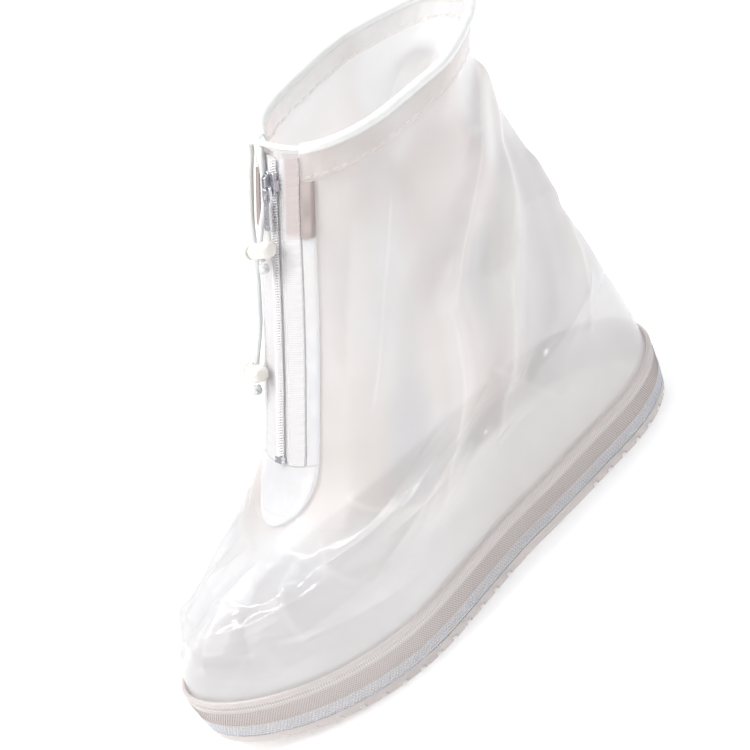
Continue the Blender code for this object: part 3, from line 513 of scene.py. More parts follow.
# each light: right, up and back of the target as the camera sees it, size, power, colour
lights = {
    "key": {"place": (-1.25, 0.0, 0.85), "size": (1.1, 1.0), "power": 10.8, "colour": (1.0, 0.985, 0.97)},
    "top": {"place": (-0.25, 1.2, 0.35), "size": (0.9, 0.6), "power": 5.8, "colour": (0.93, 0.965, 1.0)},
    "behind": {"place": (0.1, 1.0, -1.1), "size": (1.1, 0.8), "power": 5.4, "colour": (0.95, 0.97, 1.0)},
    "streak": {"place": (0.45, 0.75, 1.1), "size": (0.08, 0.9), "power": 5.0, "colour": (0.95, 0.97, 1.0)},
    "glint": {"place": (-1.10, 0.62, 0.40), "size": (0.07, 1.0), "power": 9.5, "colour": (0.97, 0.985, 1.0)},
    "glintLow": {"place": (-0.85, 0.95, 0.80), "size": (0.05, 0.7), "power": 5.5, "colour": (1.0, 1.0, 1.0)},
    "warm": {"place": (1.3, -0.1, 0.7), "size": (0.9, 0.9), "power": 2.6, "colour": (1.0, 0.95, 0.91)},
}
studio = {"world": (0.97, 0.98, 1.0), "worldPower": 0.22, "floor": (0.95, 0.95, 0.95),
          "floorGlow": 0.30, "floorSize": 8.0}


def placeLights():
    right, up, back = viewAxes()
    target = Vector(view["target"])
    for name, light in lights.items():
        lamp = bpy.data.lights.new("light_" + name, "AREA")
        lamp.shape = "RECTANGLE"
        lamp.size, lamp.size_y = light["size"]
        lamp.energy = light["power"]
        lamp.color = light["colour"]
        side, high, near = light["place"]
        place = target + right * side + up * high + back * near
        holder = bpy.data.objects.new("light_" + name, lamp)
        aim = (target - place).to_track_quat("-Z", "Y")
        holder.matrix_world = Matrix.Translation(place) @ aim.to_matrix().to_4x4()
        bpy.context.scene.collection.objects.link(holder)
    world = bpy.data.worlds.new("studio")
    world.use_nodes = True
    sky = world.node_tree.nodes["Background"]
    sky.inputs["Color"].default_value = (*studio["world"], 1.0)
    sky.inputs["Strength"].default_value = studio["worldPower"]
    bpy.context.scene.world = world
    bpy.context.scene.view_settings.view_transform = "Standard"


def placeFloor():
    finish = Finish("studioFloor", studio["floor"])
    cloud = finish.noise(finish.place(), 3.0, 3.0)
    tint = finish.mix(cloud, studio["floor"], tuple(part * 0.985 for part in studio["floor"]))
    shader = finish.principled({
        "Base Color": tint, "Roughness": 0.9, "Specular IOR Level": 0.1,
        "Emission Color": tint, "Emission Strength": studio["floorGlow"]})
    material = finish.surface(shader)
    half = studio["floorSize"] / 2
    mesh = bpy.data.meshes.new("floor")
    mesh.from_pydata([(-half, -half, 0), (half, -half, 0), (half, half, 0), (-half, half, 0)], [],
                     [(0, 1, 2, 3)])
    mesh.materials.append(material)
    floor = bpy.data.objects.new("floor", mesh)
    bpy.context.scene.collection.objects.link(floor)


placeCamera()
placeLights()
placeFloor()
print("camera, light and floor placed")


# Finishes

filmLook = {
    "colour": (0.865, 0.822, 0.792),
    "shade": (0.74, 0.68, 0.65),
    "coolColour": (0.835, 0.842, 0.855),
    # painted shade: colour of the film in sunk crease valleys
    "creaseShade": (0.70, 0.69, 0.70),
    # painted shade: the darker colour of the back half of the film
    "behind": (0.69, 0.655, 0.645),
    # painted shade: the warm, darker colour of the film just above the sole
    "foot": (0.66, 0.60, 0.58),
    # painted light: the near white that the toe and instep are brightened toward
    "toe": (0.95, 0.95, 0.955),
    # painted light: colour of the film on raised folds
    "ridge": (0.93, 0.90, 0.88),
    # painted highlight: colour of the thin pale line along crease crests
    "crest": (0.97, 0.94, 0.925),
    "milky": 0.72,  # how much of the light the shaft stops
    "clear": 0.52,  # the same over the toe
    "glow": 0.42,  # share of what it stops that comes out of the other side
    "roughness": 0.30,
}


def filmShader(finish, base, alpha, roughness, normal, gloss, glow):
    shader = finish.principled({
        "Base Color": base, "Roughness": roughness, "Normal": normal, "Alpha": alpha,
        "IOR": 1.52, "Specular IOR Level": 0.55, "Coat Weight": gloss, "Coat Roughness": 0.07})
    return finish.throughSurface(shader, glow, base, normal)


def rimWeight(finish, blendValue):
    return finish.node("ShaderNodeLayerWeight", {}, {"Blend": blendValue}, "Facing")


def upperFinish():
    # frosted and warm up the shaft, clear and glassy over the toe and the instep; the colour also holds
    # painted light and shade: a whitened toe, a darker back and foot, pale highlights on crease crests and
    # ridges, darker crease valleys
    finish = Finish("frostedFilm", filmLook["colour"])
    place = finish.place()
    turn, ring, _ = finish.axes(finish.place("laid"))
    cloud = finish.noise(place, 14.0, 2.0, 0.5)
    haze = finish.noise(place, 48.0, 2.0, 0.5)
    front = turn.absolute()
    toe = finish.spread(ring + front * 0.5 + (cloud - 0.5) * 1.2, 3.2, 5.2, 1.0, 0.0)
    back = finish.spread(front + (cloud - 0.5) * 0.5, 1.95, 2.25)
    cool = finish.spread(cloud + toe * 0.25 + back * 0.3, 0.42, 0.72)
    drift = finish.noise(place, 6.0, 1.0, 0.4)
    warm = finish.mix(finish.spread(drift, 0.38, 0.62), filmLook["shade"], filmLook["colour"])
    base = finish.mix(cool, warm, filmLook["coolColour"])
    # the fold attribute holds the painted crease highlight and the fold height in millimetres, which sets
    # painted light and shade
    crest, lift, _ = finish.axes(finish.place("fold"))
    # painted shade: the film darkened where the folds sink into valleys
    base = finish.mix(finish.spread(lift, 0.3, -3.0), base, filmLook["creaseShade"])
    # painted light: the film lightened on raised folds
    base = finish.mix(finish.spread(lift, 1.6, 4.2) * 0.8, base, filmLook["ridge"])
    # painted highlight along the crease crests, weaker over the toe
    base = finish.mix(crest * (0.75 - toe * 0.6), base, filmLook["crest"])
    # painted shade: the back half of the film is darkened
    behind = finish.spread(front, 1.0, 2.0)
    base = finish.mix(behind * 0.50, base, filmLook["behind"])
    # painted shade: the film just above the sole is darkened warm
    foot = finish.spread(ring + (cloud - 0.5) * 0.3, 0.0, 0.75, 1.0, 0.0)
    base = finish.mix(foot * 0.28, base, filmLook["foot"])
    # painted light: the toe and instep whitened, standing for the stronger light falling there
    base = finish.mix(toe * 0.45, base, filmLook["toe"])
    edge = rimWeight(finish, 0.4)
    milky = filmLook["milky"] + (haze - 0.5) * 0.10 + (cloud - 0.5) * 0.16 + crest * 0.12
    alpha = milky - toe * (filmLook["milky"] - filmLook["clear"]) + edge * edge * 0.30
    grain = finish.noise(place, 520.0, 2.0)
    slack = finish.noise(place, 26.0, 1.5, 0.4, 0.6)
    soft = finish.bump(slack, 0.0022, 0.55)
    normal = finish.bump(grain, 0.00004, 0.35, soft)
    roughness = filmLook["roughness"] + haze * 0.08 - toe * 0.20
    return filmShader(finish, base, alpha, roughness, normal, 0.35 + toe * 0.65, filmLook["glow"])


def smoothFilm(finish, place):
    # slow cloud, finer haze and the normal of smooth welded film
    cloud = finish.noise(place, 40.0, 2.0, 0.5)
    haze = finish.noise(place, 130.0, 2.0, 0.5)
    soft = finish.bump(cloud, 0.0007, 0.5)
    return cloud, haze, finish.bump(finish.noise(place, 700.0, 2.0), 0.00003, 0.35, soft)


def weldedFinish(name, colour, cool, closed, roughness, glow=0.42, gloss=0.6):
    # smooth film in more than one layer: plackets, end patch and the hem's weld marks
    finish = Finish(name, colour)
    cloud, haze, normal = smoothFilm(finish, finish.place())
    base = finish.mix(finish.spread(cloud, 0.35, 0.7), colour, cool)
    edge = rimWeight(finish, 0.35)
    alpha = closed + (haze - 0.5) * 0.12 + edge * edge * 0.3
    return filmShader(finish, base, alpha, roughness + haze * 0.08, normal, gloss, glow)


braidLook = {"colour": (0.955, 0.96, 0.95), "shade": (0.84, 0.86, 0.845), "pitch": 0.0011, "strands": 8}


def braidFinish():
    # crossed strands round the cord, from the place along it and round it
    finish = Finish("braidedElastic", braidLook["colour"])
    around, along, _ = finish.axes(finish.place("laid"))
    turns = braidLook["strands"] / 2
    first = ((around * turns + along / braidLook["pitch"]) * math.pi).sine()
    second = ((around * turns - along / braidLook["pitch"]) * math.pi).sine()
    strand = (first * second).absolute()
    fuzz = finish.noise(finish.place(), 900.0, 2.0)
    base = finish.mix(strand * 0.75 + fuzz * 0.25, braidLook["shade"], braidLook["colour"])
    normal = finish.bump(strand + fuzz * 0.3, 0.00016, 0.9)
    shader = finish.principled({
        "Base Color": base, "Roughness": 0.62 + fuzz * 0.2, "Normal": normal,
        "Sheen Weight": 0.25, "Sheen Roughness": 0.4})
    return finish.surface(shader)


plasticLook = {"colour": (0.77, 0.735, 0.69), "shade": (0.70, 0.66, 0.61)}


def plasticFinish():
    # moulded ivory plastic, glossy, with faint flow marks
    finish = Finish("mouldedPlastic", plasticLook["colour"])
    place = finish.place()
    flow = finish.noise(place, 140.0, 3.0, 0.5, 0.8)
    fine = finish.noise(place, 1600.0, 2.0)
    base = finish.mix(finish.spread(flow, 0.3, 0.8), plasticLook["colour"], plasticLook["shade"])
    normal = finish.bump(flow * 0.7 + fine * 0.3, 0.00005, 0.4)
    shader = finish.principled({
        "Base Color": base, "Roughness": 0.20 + flow * 0.16, "Normal": normal,
        "Coat Weight": 0.35, "Coat Roughness": 0.08})
    return finish.surface(shader)


# the slider's colours, a darker and bluer copy of the plating, are painted shade and dark reflections
metalLook = {"colour": (0.86, 0.86, 0.89), "worn": (0.62, 0.62, 0.67),
             "sliderShadedColour": (0.60, 0.60, 0.66), "sliderShadedWorn": (0.34, 0.34, 0.40)}


def metalFinish(name, colour, worn):
    # bright plating with brushed lines and small scratches
    finish = Finish(name, colour)
    place = finish.place()
    stretched = finish.node("ShaderNodeMapping", {}, {"Vector": place, "Scale": (1.0, 1.0, 0.06)})
    brushed = finish.noise(stretched, 2600.0, 2.0, 0.6)
    spots = finish.noise(place, 380.0, 4.0, 0.6)
    base = finish.mix(finish.spread(spots, 0.45, 0.75), colour, worn)
    normal = finish.bump(brushed * 0.6 + spots * 0.4, 0.00003, 0.5)
    shader = finish.principled({
        "Base Color": base, "Metallic": 0.85, "Roughness": 0.16 + spots * 0.18, "Normal": normal})
    return finish.surface(shader)


tapeLook = {
    # tint is the brown of the painted shadow at the tape's top
    "colour": (0.88, 0.87, 0.875), "shade": (0.66, 0.64, 0.645), "tint": (0.60, 0.52, 0.50),
    "wale": 0.00105, "course": 0.00085, "shadowDown": (0.0360, 0.0410), "shadowOut": (0.0050, 0.0075),
}


def tapeFinish():
    # knitted tape: rows of small loops, with painted shadow at the top beside the thick end of the placket
    finish = Finish("knittedTape", tapeLook["colour"])
    beside, down, _ = finish.axes(finish.place("laid"))
    full = 2 * math.pi
    lean = (beside * (full / tapeLook["wale"])).sine().absolute()
    course = (down * (full / tapeLook["course"]) + lean * 1.8).sine()
    loops = (course * 0.5 + 0.5) * 0.6 + lean * 0.4
    fuzz = finish.noise(finish.place(), 1400.0, 2.0)
    patch = finish.noise(finish.place(), 60.0, 2.0)
    base = finish.mix(loops * 0.6 + fuzz * 0.25 + patch * 0.25, tapeLook["shade"], tapeLook["colour"])
    # painted shadow: the tape's top darkened brown beside the placket's thick end
    tint = (finish.spread(down, *tapeLook["shadowDown"], 1.0, 0.0)
            * finish.spread(beside.absolute(), *tapeLook["shadowOut"]))
    base = finish.mix(tint * 0.85, base, tapeLook["tint"])
    normal = finish.bump(loops + fuzz * 0.35, 0.00014, 0.9)
    shader = finish.principled({
        "Base Color": base, "Roughness": 0.70 + fuzz * 0.15, "Normal": normal,
        "Sheen Weight": 0.2, "Sheen Roughness": 0.5})
    return finish.throughSurface(shader, 0.2, base, normal)


coilLook = {"colour": (0.93, 0.925, 0.93), "shade": (0.84, 0.825, 0.825)}


def coilFinish():
    finish = Finish("nylonCoil", coilLook["colour"])
    place = finish.place()
    grain = finish.noise(place, 700.0, 2.0)
    base = finish.mix(grain, coilLook["shade"], coilLook["colour"])
    normal = finish.bump(grain, 0.00004, 0.4)
    shader = finish.principled({
        "Base Color": base, "Roughness": 0.26 + grain * 0.14, "Normal": normal,
        "Subsurface Weight": 0.2, "Subsurface Radius": (0.003, 0.003, 0.003), "Subsurface Scale": 0.4})
    return finish.surface(shader)


hemFilmLook = {
    "colour": (0.93, 0.905, 0.885), "warm": (0.95, 0.925, 0.905), "cool": (0.95, 0.94, 0.94),
    "weld": (0.84, 0.74, 0.71), "rolled": (0.98, 0.98, 0.975),
    "rolledRise": (-0.0009, 0.0006), "weldRise": (-0.0124, -0.0118, -0.0116, -0.0108),
}


def hemFinish():
    # see-through legs under a solid white rolled edge, with the weld line between them
    look = hemFilmLook
    finish = Finish("hemFilm", look["colour"])
    _, rise, _ = finish.axes(finish.place("laid"))
    cloud, haze, normal = smoothFilm(finish, finish.place())
    rolled = finish.spread(rise + (haze - 0.5) * 0.0006, *look["rolledRise"])
    weld = finish.band(rise, *look["weldRise"])
    base = finish.mix(cloud, look["warm"], look["cool"])
    base = finish.mix(weld * 0.5, base, look["weld"])
    base = finish.mix(rolled, base, look["rolled"])
    edge = rimWeight(finish, 0.35)
    alpha = 0.07 + (haze - 0.5) * 0.06 + edge * edge * 0.12 + rolled * 0.76 + weld * 0.15
    return filmShader(finish, base, alpha, 0.24 + haze * 0.08, normal, 0.6, 0.42)


frostedFilm = upperFinish()
hemFilm = hemFinish()
doubleFilm = weldedFinish("doubleFilm", (0.95, 0.945, 0.945), (0.93, 0.945, 0.97), 0.55, 0.14, 0.35, 1.0)
weldFilm = weldedFinish("weldFilm", (0.90, 0.865, 0.85), (0.92, 0.91, 0.91), 0.24, 0.25)
# painted shadow: the placket's thick top end is coloured dark brown for the shade there
blockShadowFilm = weldedFinish("blockShadowFilm", (0.44, 0.37, 0.35), (0.52, 0.45, 0.43), 0.88, 0.26, 0.2, 0.5)
braidedElastic = braidFinish()
mouldedPlastic = plasticFinish()
platedMetal = metalFinish("platedMetal", metalLook["colour"], metalLook["worn"])
# painted shade: the slider body uses a darker, bluer copy of the tab's plating
sliderMetalShaded = metalFinish("sliderMetalShaded", metalLook["sliderShadedColour"], metalLook["sliderShadedWorn"])
knittedTape = tapeFinish()
nylonCoil = coilFinish()
print("finishes made")


# Free cord ends: down the zip, aside from its middle and above the film, in metres
cords = {
    "short": {
        "route": [
            (-0.0020, -0.0147, -0.0006), (-0.0020, -0.0125, -0.0005), (-0.0018, -0.0102, 0.0008),
            (0.0002, -0.0084, 0.0027), (0.0045, -0.0074, 0.0034), (0.0140, -0.0068, 0.0031),
            (0.0260, -0.0067, 0.0033), (0.0350, -0.0058, 0.0056), (0.0410, -0.0037, 0.0082),
            (0.0450, -0.0026, 0.0086), (0.0500, -0.0016, 0.0086)],
        "points": 18},
    "long": {
        "route": [
            (-0.0020, 0.0147, -0.0006), (-0.0021, 0.0125, -0.0005), (-0.0030, 0.0070, 0.0008),
            (-0.0036, 0.0000, 0.0022), (-0.0036, -0.0070, 0.0036), (-0.0022, -0.0130, 0.0048),
            (0.0010, -0.0180, 0.0046), (0.0070, -0.0216, 0.0036), (0.0150, -0.0228, 0.0041),
            (0.0300, -0.0232, 0.0041), (0.0420, -0.0228, 0.0040), (0.0560, -0.0214, 0.0032),
            (0.0720, -0.0190, 0.0032), (0.0880, -0.0172, 0.0036), (0.1015, -0.0156, 0.0056),
            (0.1080, -0.0150, 0.0063), (0.1130, -0.0146, 0.0063)],
        "points": 38},
}
cordSides = 16


def evenPoints(points, count):
    # evenly spaced points on the smooth curve through the chosen ones
    points = np.asarray(points, float)
    fine = curveThrough(points, np.linspace(0, len(points) - 1, 24 * (len(points) - 1) + 1))
    lengths = np.concatenate([[0.0], np.cumsum(np.linalg.norm(np.diff(fine, axis=0), axis=1))])
    at = np.linspace(0.0, lengths[-1], count)
    return np.stack([np.interp(at, lengths, fine[:, axis]) for axis in range(3)], axis=1), lengths[-1]


def tubeMesh(path, radius, sides, ends=True):
    # a round tube along a path, with frames carried on from point to point
    path = np.asarray(path, float)
    steps = unit(np.gradient(path, axis=0))
    side = np.cross(steps[0], (0.0, 0.0, 1.0))
    if np.linalg.norm(side) < 1e-3:
        side = np.cross(steps[0], (1.0, 0.0, 0.0))
    points, laid = [], []
    walked = 0.0
    turns = np.arange(sides) * 2 * np.pi / sides
    for number, (place, step) in enumerate(zip(path, steps)):
        side = side - step * side.dot(step)
        side = side / np.linalg.norm(side)
        other = np.cross(step, side)
        if number:
            walked += np.linalg.norm(place - path[number - 1])
        for turn in turns:
            points.append(place + (side * math.cos(turn) + other * math.sin(turn)) * radius)
            laid.append((turn, walked, 0.0))
    faces = gridFaces(len(path), sides, closed=True)
    if ends:
        faces.append(tuple(range(sides)))
        faces.append(tuple(reversed(range((len(path) - 1) * sides, len(path) * sides))))
    return points, faces, laid


def joinTubes(tubes):
    points, faces = [], []
    for made, madeFaces, _ in tubes:
        shift = len(points)
        points += made
        faces += [tuple(shift + corner for corner in face) for face in madeFaces]
    return points, faces


def buildCord(name, path, nodes):
    fine, _ = evenPoints(path, max(len(path) * 5, 80))
    points, faces, laid = tubeMesh(fine, cover["cordDiameter"] / 2, cordSides)
    return makePiece(name, points, faces, braidedElastic, replaces=nodes, slot="elastic", laid=laid)


cordPaths = {}
for name, cord in cords.items():
    chosen = [seatPoints(*row) for row in cord["route"]]
    path, length = evenPoints(chosen, cord["points"])
    cordPaths[name] = path
    buildCord("free_cord_" + name, path, ["cord_end_" + name])
    print("cord", name, "is", round(length, 4), "m long")
print("cords laid")


# Film upper

upperLook = {
    "columns": 372, "rows": 236, "frontColumns": 6,
    "creaseRound": 0.0007, "creaseLift": 1.5, "crestWidth": 0.0006, "crestFull": 0.0018, "seed": 11,
}

# Sharper creases on the visible film: from angle and ring, to angle and ring, height and width
# in metres. They cross its open parts between the main folds, and fan out below the zip.
creases = [
    (163, 8.3, 112, 5.6, 0.0016, 0.0060), (112, 5.6, 96, 2.4, 0.0018, 0.0060),
    (148, 8.2, 84, 6.0, 0.0012, 0.0080), (84, 6.0, 80, 2.4, 0.0015, 0.0070),
    (172, 7.2, 150, 5.0, 0.0012, 0.0050), (150, 5.0, 133, 2.6, 0.0014, 0.0050),
    (128, 7.6, 104, 6.6, -0.0010, 0.0060), (70, 8.1, 44, 5.6, 0.0009, 0.0100),
    (46, 8.0, 34, 6.2, -0.0008, 0.0080), (96, 4.4, 120, 2.0, 0.0010, 0.0040),
    (84, 3.8, 58, 2.2, 0.0010, 0.0040), (70, 4.4, 98, 3.0, -0.0008, 0.0050),
    (-163, 8.3, -112, 5.6, 0.0016, 0.0060), (-112, 5.6, -94, 2.4, 0.0016, 0.0060),
    (-148, 8.2, -84, 6.0, 0.0012, 0.0080), (-84, 6.0, -78, 2.4, 0.0015, 0.0070),
    (-172, 7.2, -146, 4.0, 0.0012, 0.0050), (-60, 8.0, -40, 5.4, -0.0010, 0.0090),
    (179, 8.0, 178, 3.0, 0.0008, 0.0060),
    (-8, 4.0, -30, 1.9, 0.0011, 0.0040), (-16, 4.1, -58, 2.0, 0.0006, 0.0060),
    (-3, 3.9, -10, 1.6, -0.0012, 0.0040), (3, 3.9, 9, 1.6, 0.0015, 0.0035),
    (9, 4.0, 27, 1.7, -0.0011, 0.0040), (15, 4.2, 42, 1.9, 0.0016, 0.0040),
    (22, 4.4, 60, 2.2, 0.0014, 0.0045), (32, 4.8, 74, 3.0, 0.0012, 0.0050),
    (-28, 4.7, -76, 2.6, 0.0007, 0.0060), (30, 3.4, 62, 3.6, 0.0009, 0.0040),
    (-24, 3.2, 22, 3.0, 0.0008, 0.0040), (-34, 2.3, 30, 2.0, 0.0009, 0.0050),
]
crumples = {"count": 130, "height": 0.0011, "width": (0.0018, 0.0050), "length": (0.016, 0.055),
            "round": 0.0004, "lowShare": 0.72, "lowSpread": 62, "outShare": 0.55, "highLevel": 0.45}


def crease(away, width, soft):
    # a crest that falls off evenly to both sides, with its tip rounded
    return np.exp(-(np.sqrt(away ** 2 + soft ** 2) - soft) / width)


def creaseHeight(angle, along):
    angle = wrapped(angle)
    height = np.zeros(angle.shape)
    for row in creases:
        away, share = lineDistance(angle, along, row)
        ends = smoothStep(0.0, 0.12, share) * smoothStep(0.0, 0.12, 1 - share)
        height += row[4] * crease(away, row[5], upperLook["creaseRound"]) * (0.35 + 0.65 * ends)
    return height * upperLook["creaseLift"]


def creaseHighlightLines(angle, along):
    # painted highlight: a thin pale line along the crest of each sharp raised crease
    angle = wrapped(angle)
    crest = np.zeros(angle.shape)
    for row in creases:
        if row[4] > 0:
            away, share = lineDistance(angle, along, row)
            ends = smoothStep(0.0, 0.15, share) * smoothStep(0.0, 0.15, 1 - share)
            line = np.exp(-(away / upperLook["crestWidth"]) ** 2)
            crest = np.maximum(crest, line * ends * row[4] / upperLook["crestFull"])
    return crest * openShare(angle, along, creaseRoom)


def crumpleHeight(angle, along):
    # short crisp folds, most of them over the instep and the toe
    chance = np.random.default_rng(upperLook["seed"])
    angle = wrapped(angle)
    girth, rise = foldLook["girth"], foldLook["rise"]
    height = np.zeros(angle.shape)
    for _ in range(crumples["count"]):
        low = chance.random() < crumples["lowShare"]
        degrees = chance.normal(0, crumples["lowSpread"]) if low else chance.uniform(-180, 180)
        middle = math.radians(degrees)
        ring = chance.uniform(1.2, 4.6) if low else chance.uniform(2.0, 8.0)
        lean = chance.uniform(0, math.pi)
        reach = chance.uniform(*crumples["length"]) / 2
        width = chance.uniform(*crumples["width"])
        level = crumples["height"] * chance.uniform(0.3, 1.0)
        level = level * (1 if chance.random() < crumples["outShare"] else -1)
        if not low:
            level *= crumples["highLevel"]
        away, share = lineDistance(angle, along, (
            math.degrees(middle - math.cos(lean) * reach / girth), ring - math.sin(lean) * reach / rise,
            math.degrees(middle + math.cos(lean) * reach / girth), ring + math.sin(lean) * reach / rise))
        height += level * crease(away, width, crumples["round"]) * np.sin(np.pi * np.clip(share, 0.04, 0.96))
    return height


slack = {
    "swell": 0.0009, "around": 0.011, "up": 0.023, "bend": 1.7, "bendUp": 0.031,
    "ripple": 0.0006, "rippleAround": 0.0065, "rippleUp": 0.017,
}


def softHeight(angle, along):
    # slow swells of slack film, with finer ripples over them
    x, y = angle * foldLook["girth"], along * foldLook["rise"]
    bend = slack["bend"] * np.sin(y / slack["bendUp"])
    return (slack["swell"] * np.sin(x / slack["around"] + bend) * np.sin(y / slack["up"] + 0.8)
            + slack["ripple"] * np.sin(x / slack["rippleAround"] + y / slack["rippleUp"] + 2.1))


def visibleFilm(angle, along):
    angle, along = np.broadcast_arrays(np.asarray(angle, float), np.asarray(along, float))
    extra = creaseHeight(angle, along) + crumpleHeight(angle, along) + softHeight(angle, along)
    extra = extra * openShare(angle, along, creaseRoom)
    return foldedPoints(angle, along) + filmNormals(angle, along) * extra[..., None]


def buildUpper():
    look = upperLook
    along = np.linspace(0.0, topRing, look["rows"])
    slitRow = int(np.argmin(np.abs(along - cover["zipEnd"])))
    along[slitRow] = cover["zipEnd"]
    edge = angleAside(np.full(len(along), cover["slit"] / 2), along)[:, None]
    around = np.linspace(0.0, 1.0, look["columns"] + 1)[None, :]
    inFront = np.linspace(0.0, 1.0, look["frontColumns"] + 1)[1:-1][None, :]
    angles = np.concatenate([edge + (2 * np.pi - 2 * edge) * around, 2 * np.pi - edge + 2 * edge * inFront],
                            axis=1)
    rows, columns = angles.shape
    ringed = np.repeat(along[:, None], columns, axis=1)
    # the columns in front of the zip end where its slit begins
    faces = [face for number, face in enumerate(gridFaces(rows, columns, closed=True))
             if number % columns < look["columns"] or number // columns < slitRow]
    bend = wrapped(angles)
    upper = makePiece("film_upper", visibleFilm(angles, ringed), faces, frostedFilm, replaces=["upper"],
                      slot="film", sharp=None, laid=laidOut(bend, ringed), facesOut=False)
    # the painted crease highlight and the fold height, stored for the film's painted light and shade
    lift = foldHeight(angles, ringed) + creaseHeight(bend, ringed) + softHeight(bend, ringed)
    lift = lift * openShare(angles, ringed, creaseRoom) * 1000
    storeCoordinates(upper, "fold", laidOut(creaseHighlightLines(angles, ringed), lift))
    shell = bmesh.new()
    shell.from_mesh(upper.data)
    bmesh.ops.delete(shell, geom=[v for v in shell.verts if not v.link_faces], context="VERTS")
    shell.to_mesh(upper.data)
    shell.free()


buildUpper()
print("film upper made")


# Sole tray: a moulded wall with bands of ribs, dots and knurls, on a grooved sole

soleLook = {
    "columns": 300, "lipRound": 0.0009,
    "weldDrop": 0.0012, "weldWidth": 0.0008, "weldRise": 0.0005,
    "ribTop": 0.0022, "ribBottom": 0.0048, "ribPitch": 0.0013, "ribWidth": 0.0006, "ribRise": 0.00022,
    "dotTop": 0.0058, "dotBottom": 0.0142, "dotPitch": 0.00125, "dotRise": 0.00030, "dotSize": 0.00044,
    "knurlTop": 0.0149, "knurlRows": 7, "knurlPitch": 0.0017, "knurlRise": 0.00050,
    "grooveWidth": 0.0035, "groovePitch": 0.0110, "grooveEdge": 0.0100, "archStart": 0.008,
    "archEnd": 0.062, "edgeRound": 0.0016, "footOut": 0.0004,
    "innerRows": 14, "lipRows": 7, "wallRows": 64, "dotIn": 0.0004, "dotRow": 0.8,
    "knurlIn": 0.0007, "knurlRow": 0.00145, "studTop": 0.55, "studSink": 0.0001,
    "weldGroove": (0.0016, 0.0004, -0.00035), "bandStep": (0.0008, 0.00025), "treadStep": (0.0006, 0.0004),
    "tooth": ((-0.00068, -0.0003), (0.00068, -0.00058), (0.00068, 0.0003), (-0.00068, 0.00058)),
}


def lipRing():
    # the ring number at which the film passes the tray's upper edge
    along = np.linspace(0.0, 2.0, 401)
    toe = curveThrough(rings, along)[:, 1]
    height = filmFoot + toe * (cover["toeBoxHeight"] - filmFoot)
    return float(np.interp(cover["soleWallHeight"], height, along))


def trayPoint(angle, along, offset):
    return foldedPoints(angle, along) + filmNormals(angle, along) * np.asarray(offset)[..., None]


def trayRelief(drop):
    # how far the wall stands out, by the distance below its upper edge
    look = soleLook
    weld = swell(drop, look["weldDrop"], look["weldWidth"], look["weldRise"])
    groove = swell(drop - look["weldDrop"], *look["weldGroove"])
    steps = [rise * smoothStep(look[top] - length, look[top], drop)
             for top, (length, rise) in (("dotTop", look["bandStep"]), ("knurlTop", look["treadStep"]))]
    return weld + groove + steps[0] + steps[1]


class TrayWall:
    # the wall's outer face, laid out by angle and by the distance below its upper edge
    def __init__(self, angles):
        self.angles = angles
        self.inside = cover["filmWall"] / 2 + cover["gap"]
        self.outside = self.inside + cover["soleWall"]
        self.steps = np.linspace(lipRing(), 0.0, 61)
        face = trayPoint(angles[None, :], self.steps[:, None],
                         np.full((len(self.steps), len(angles)), self.outside))
        self.drops = np.concatenate([np.zeros((1, len(angles))), np.cumsum(
            np.linalg.norm(np.diff(face, axis=0), axis=-1), axis=0)])
        middle = face[len(self.steps) // 2]
        closing = np.linalg.norm(np.roll(middle, -1, axis=0) - middle, axis=-1)
        self.walked = np.concatenate([[0.0], np.cumsum(closing)])

    def along(self, column, drop):
        return np.interp(drop, self.drops[:, column], self.steps)

    def around(self, distance):
        angles = np.append(self.angles, self.angles[0] + 2 * np.pi)
        return np.interp(np.mod(distance, self.walked[-1]), self.walked, angles)


def ringAngles(count):
    # closer together at the toe and the heel, where the outline bends most
    even = np.linspace(0.0, 2 * np.pi, count, endpoint=False)
    return even - 0.20 * np.sin(2 * even) / 2


def grooveStations():
    stations = []
    y = -halfLength + soleLook["grooveEdge"] + soleLook["groovePitch"] / 2
    while y < halfLength - soleLook["grooveEdge"]:
        if not soleLook["archStart"] < y < soleLook["archEnd"]:
            stations.append(y)
        y += soleLook["groovePitch"]
    return stations


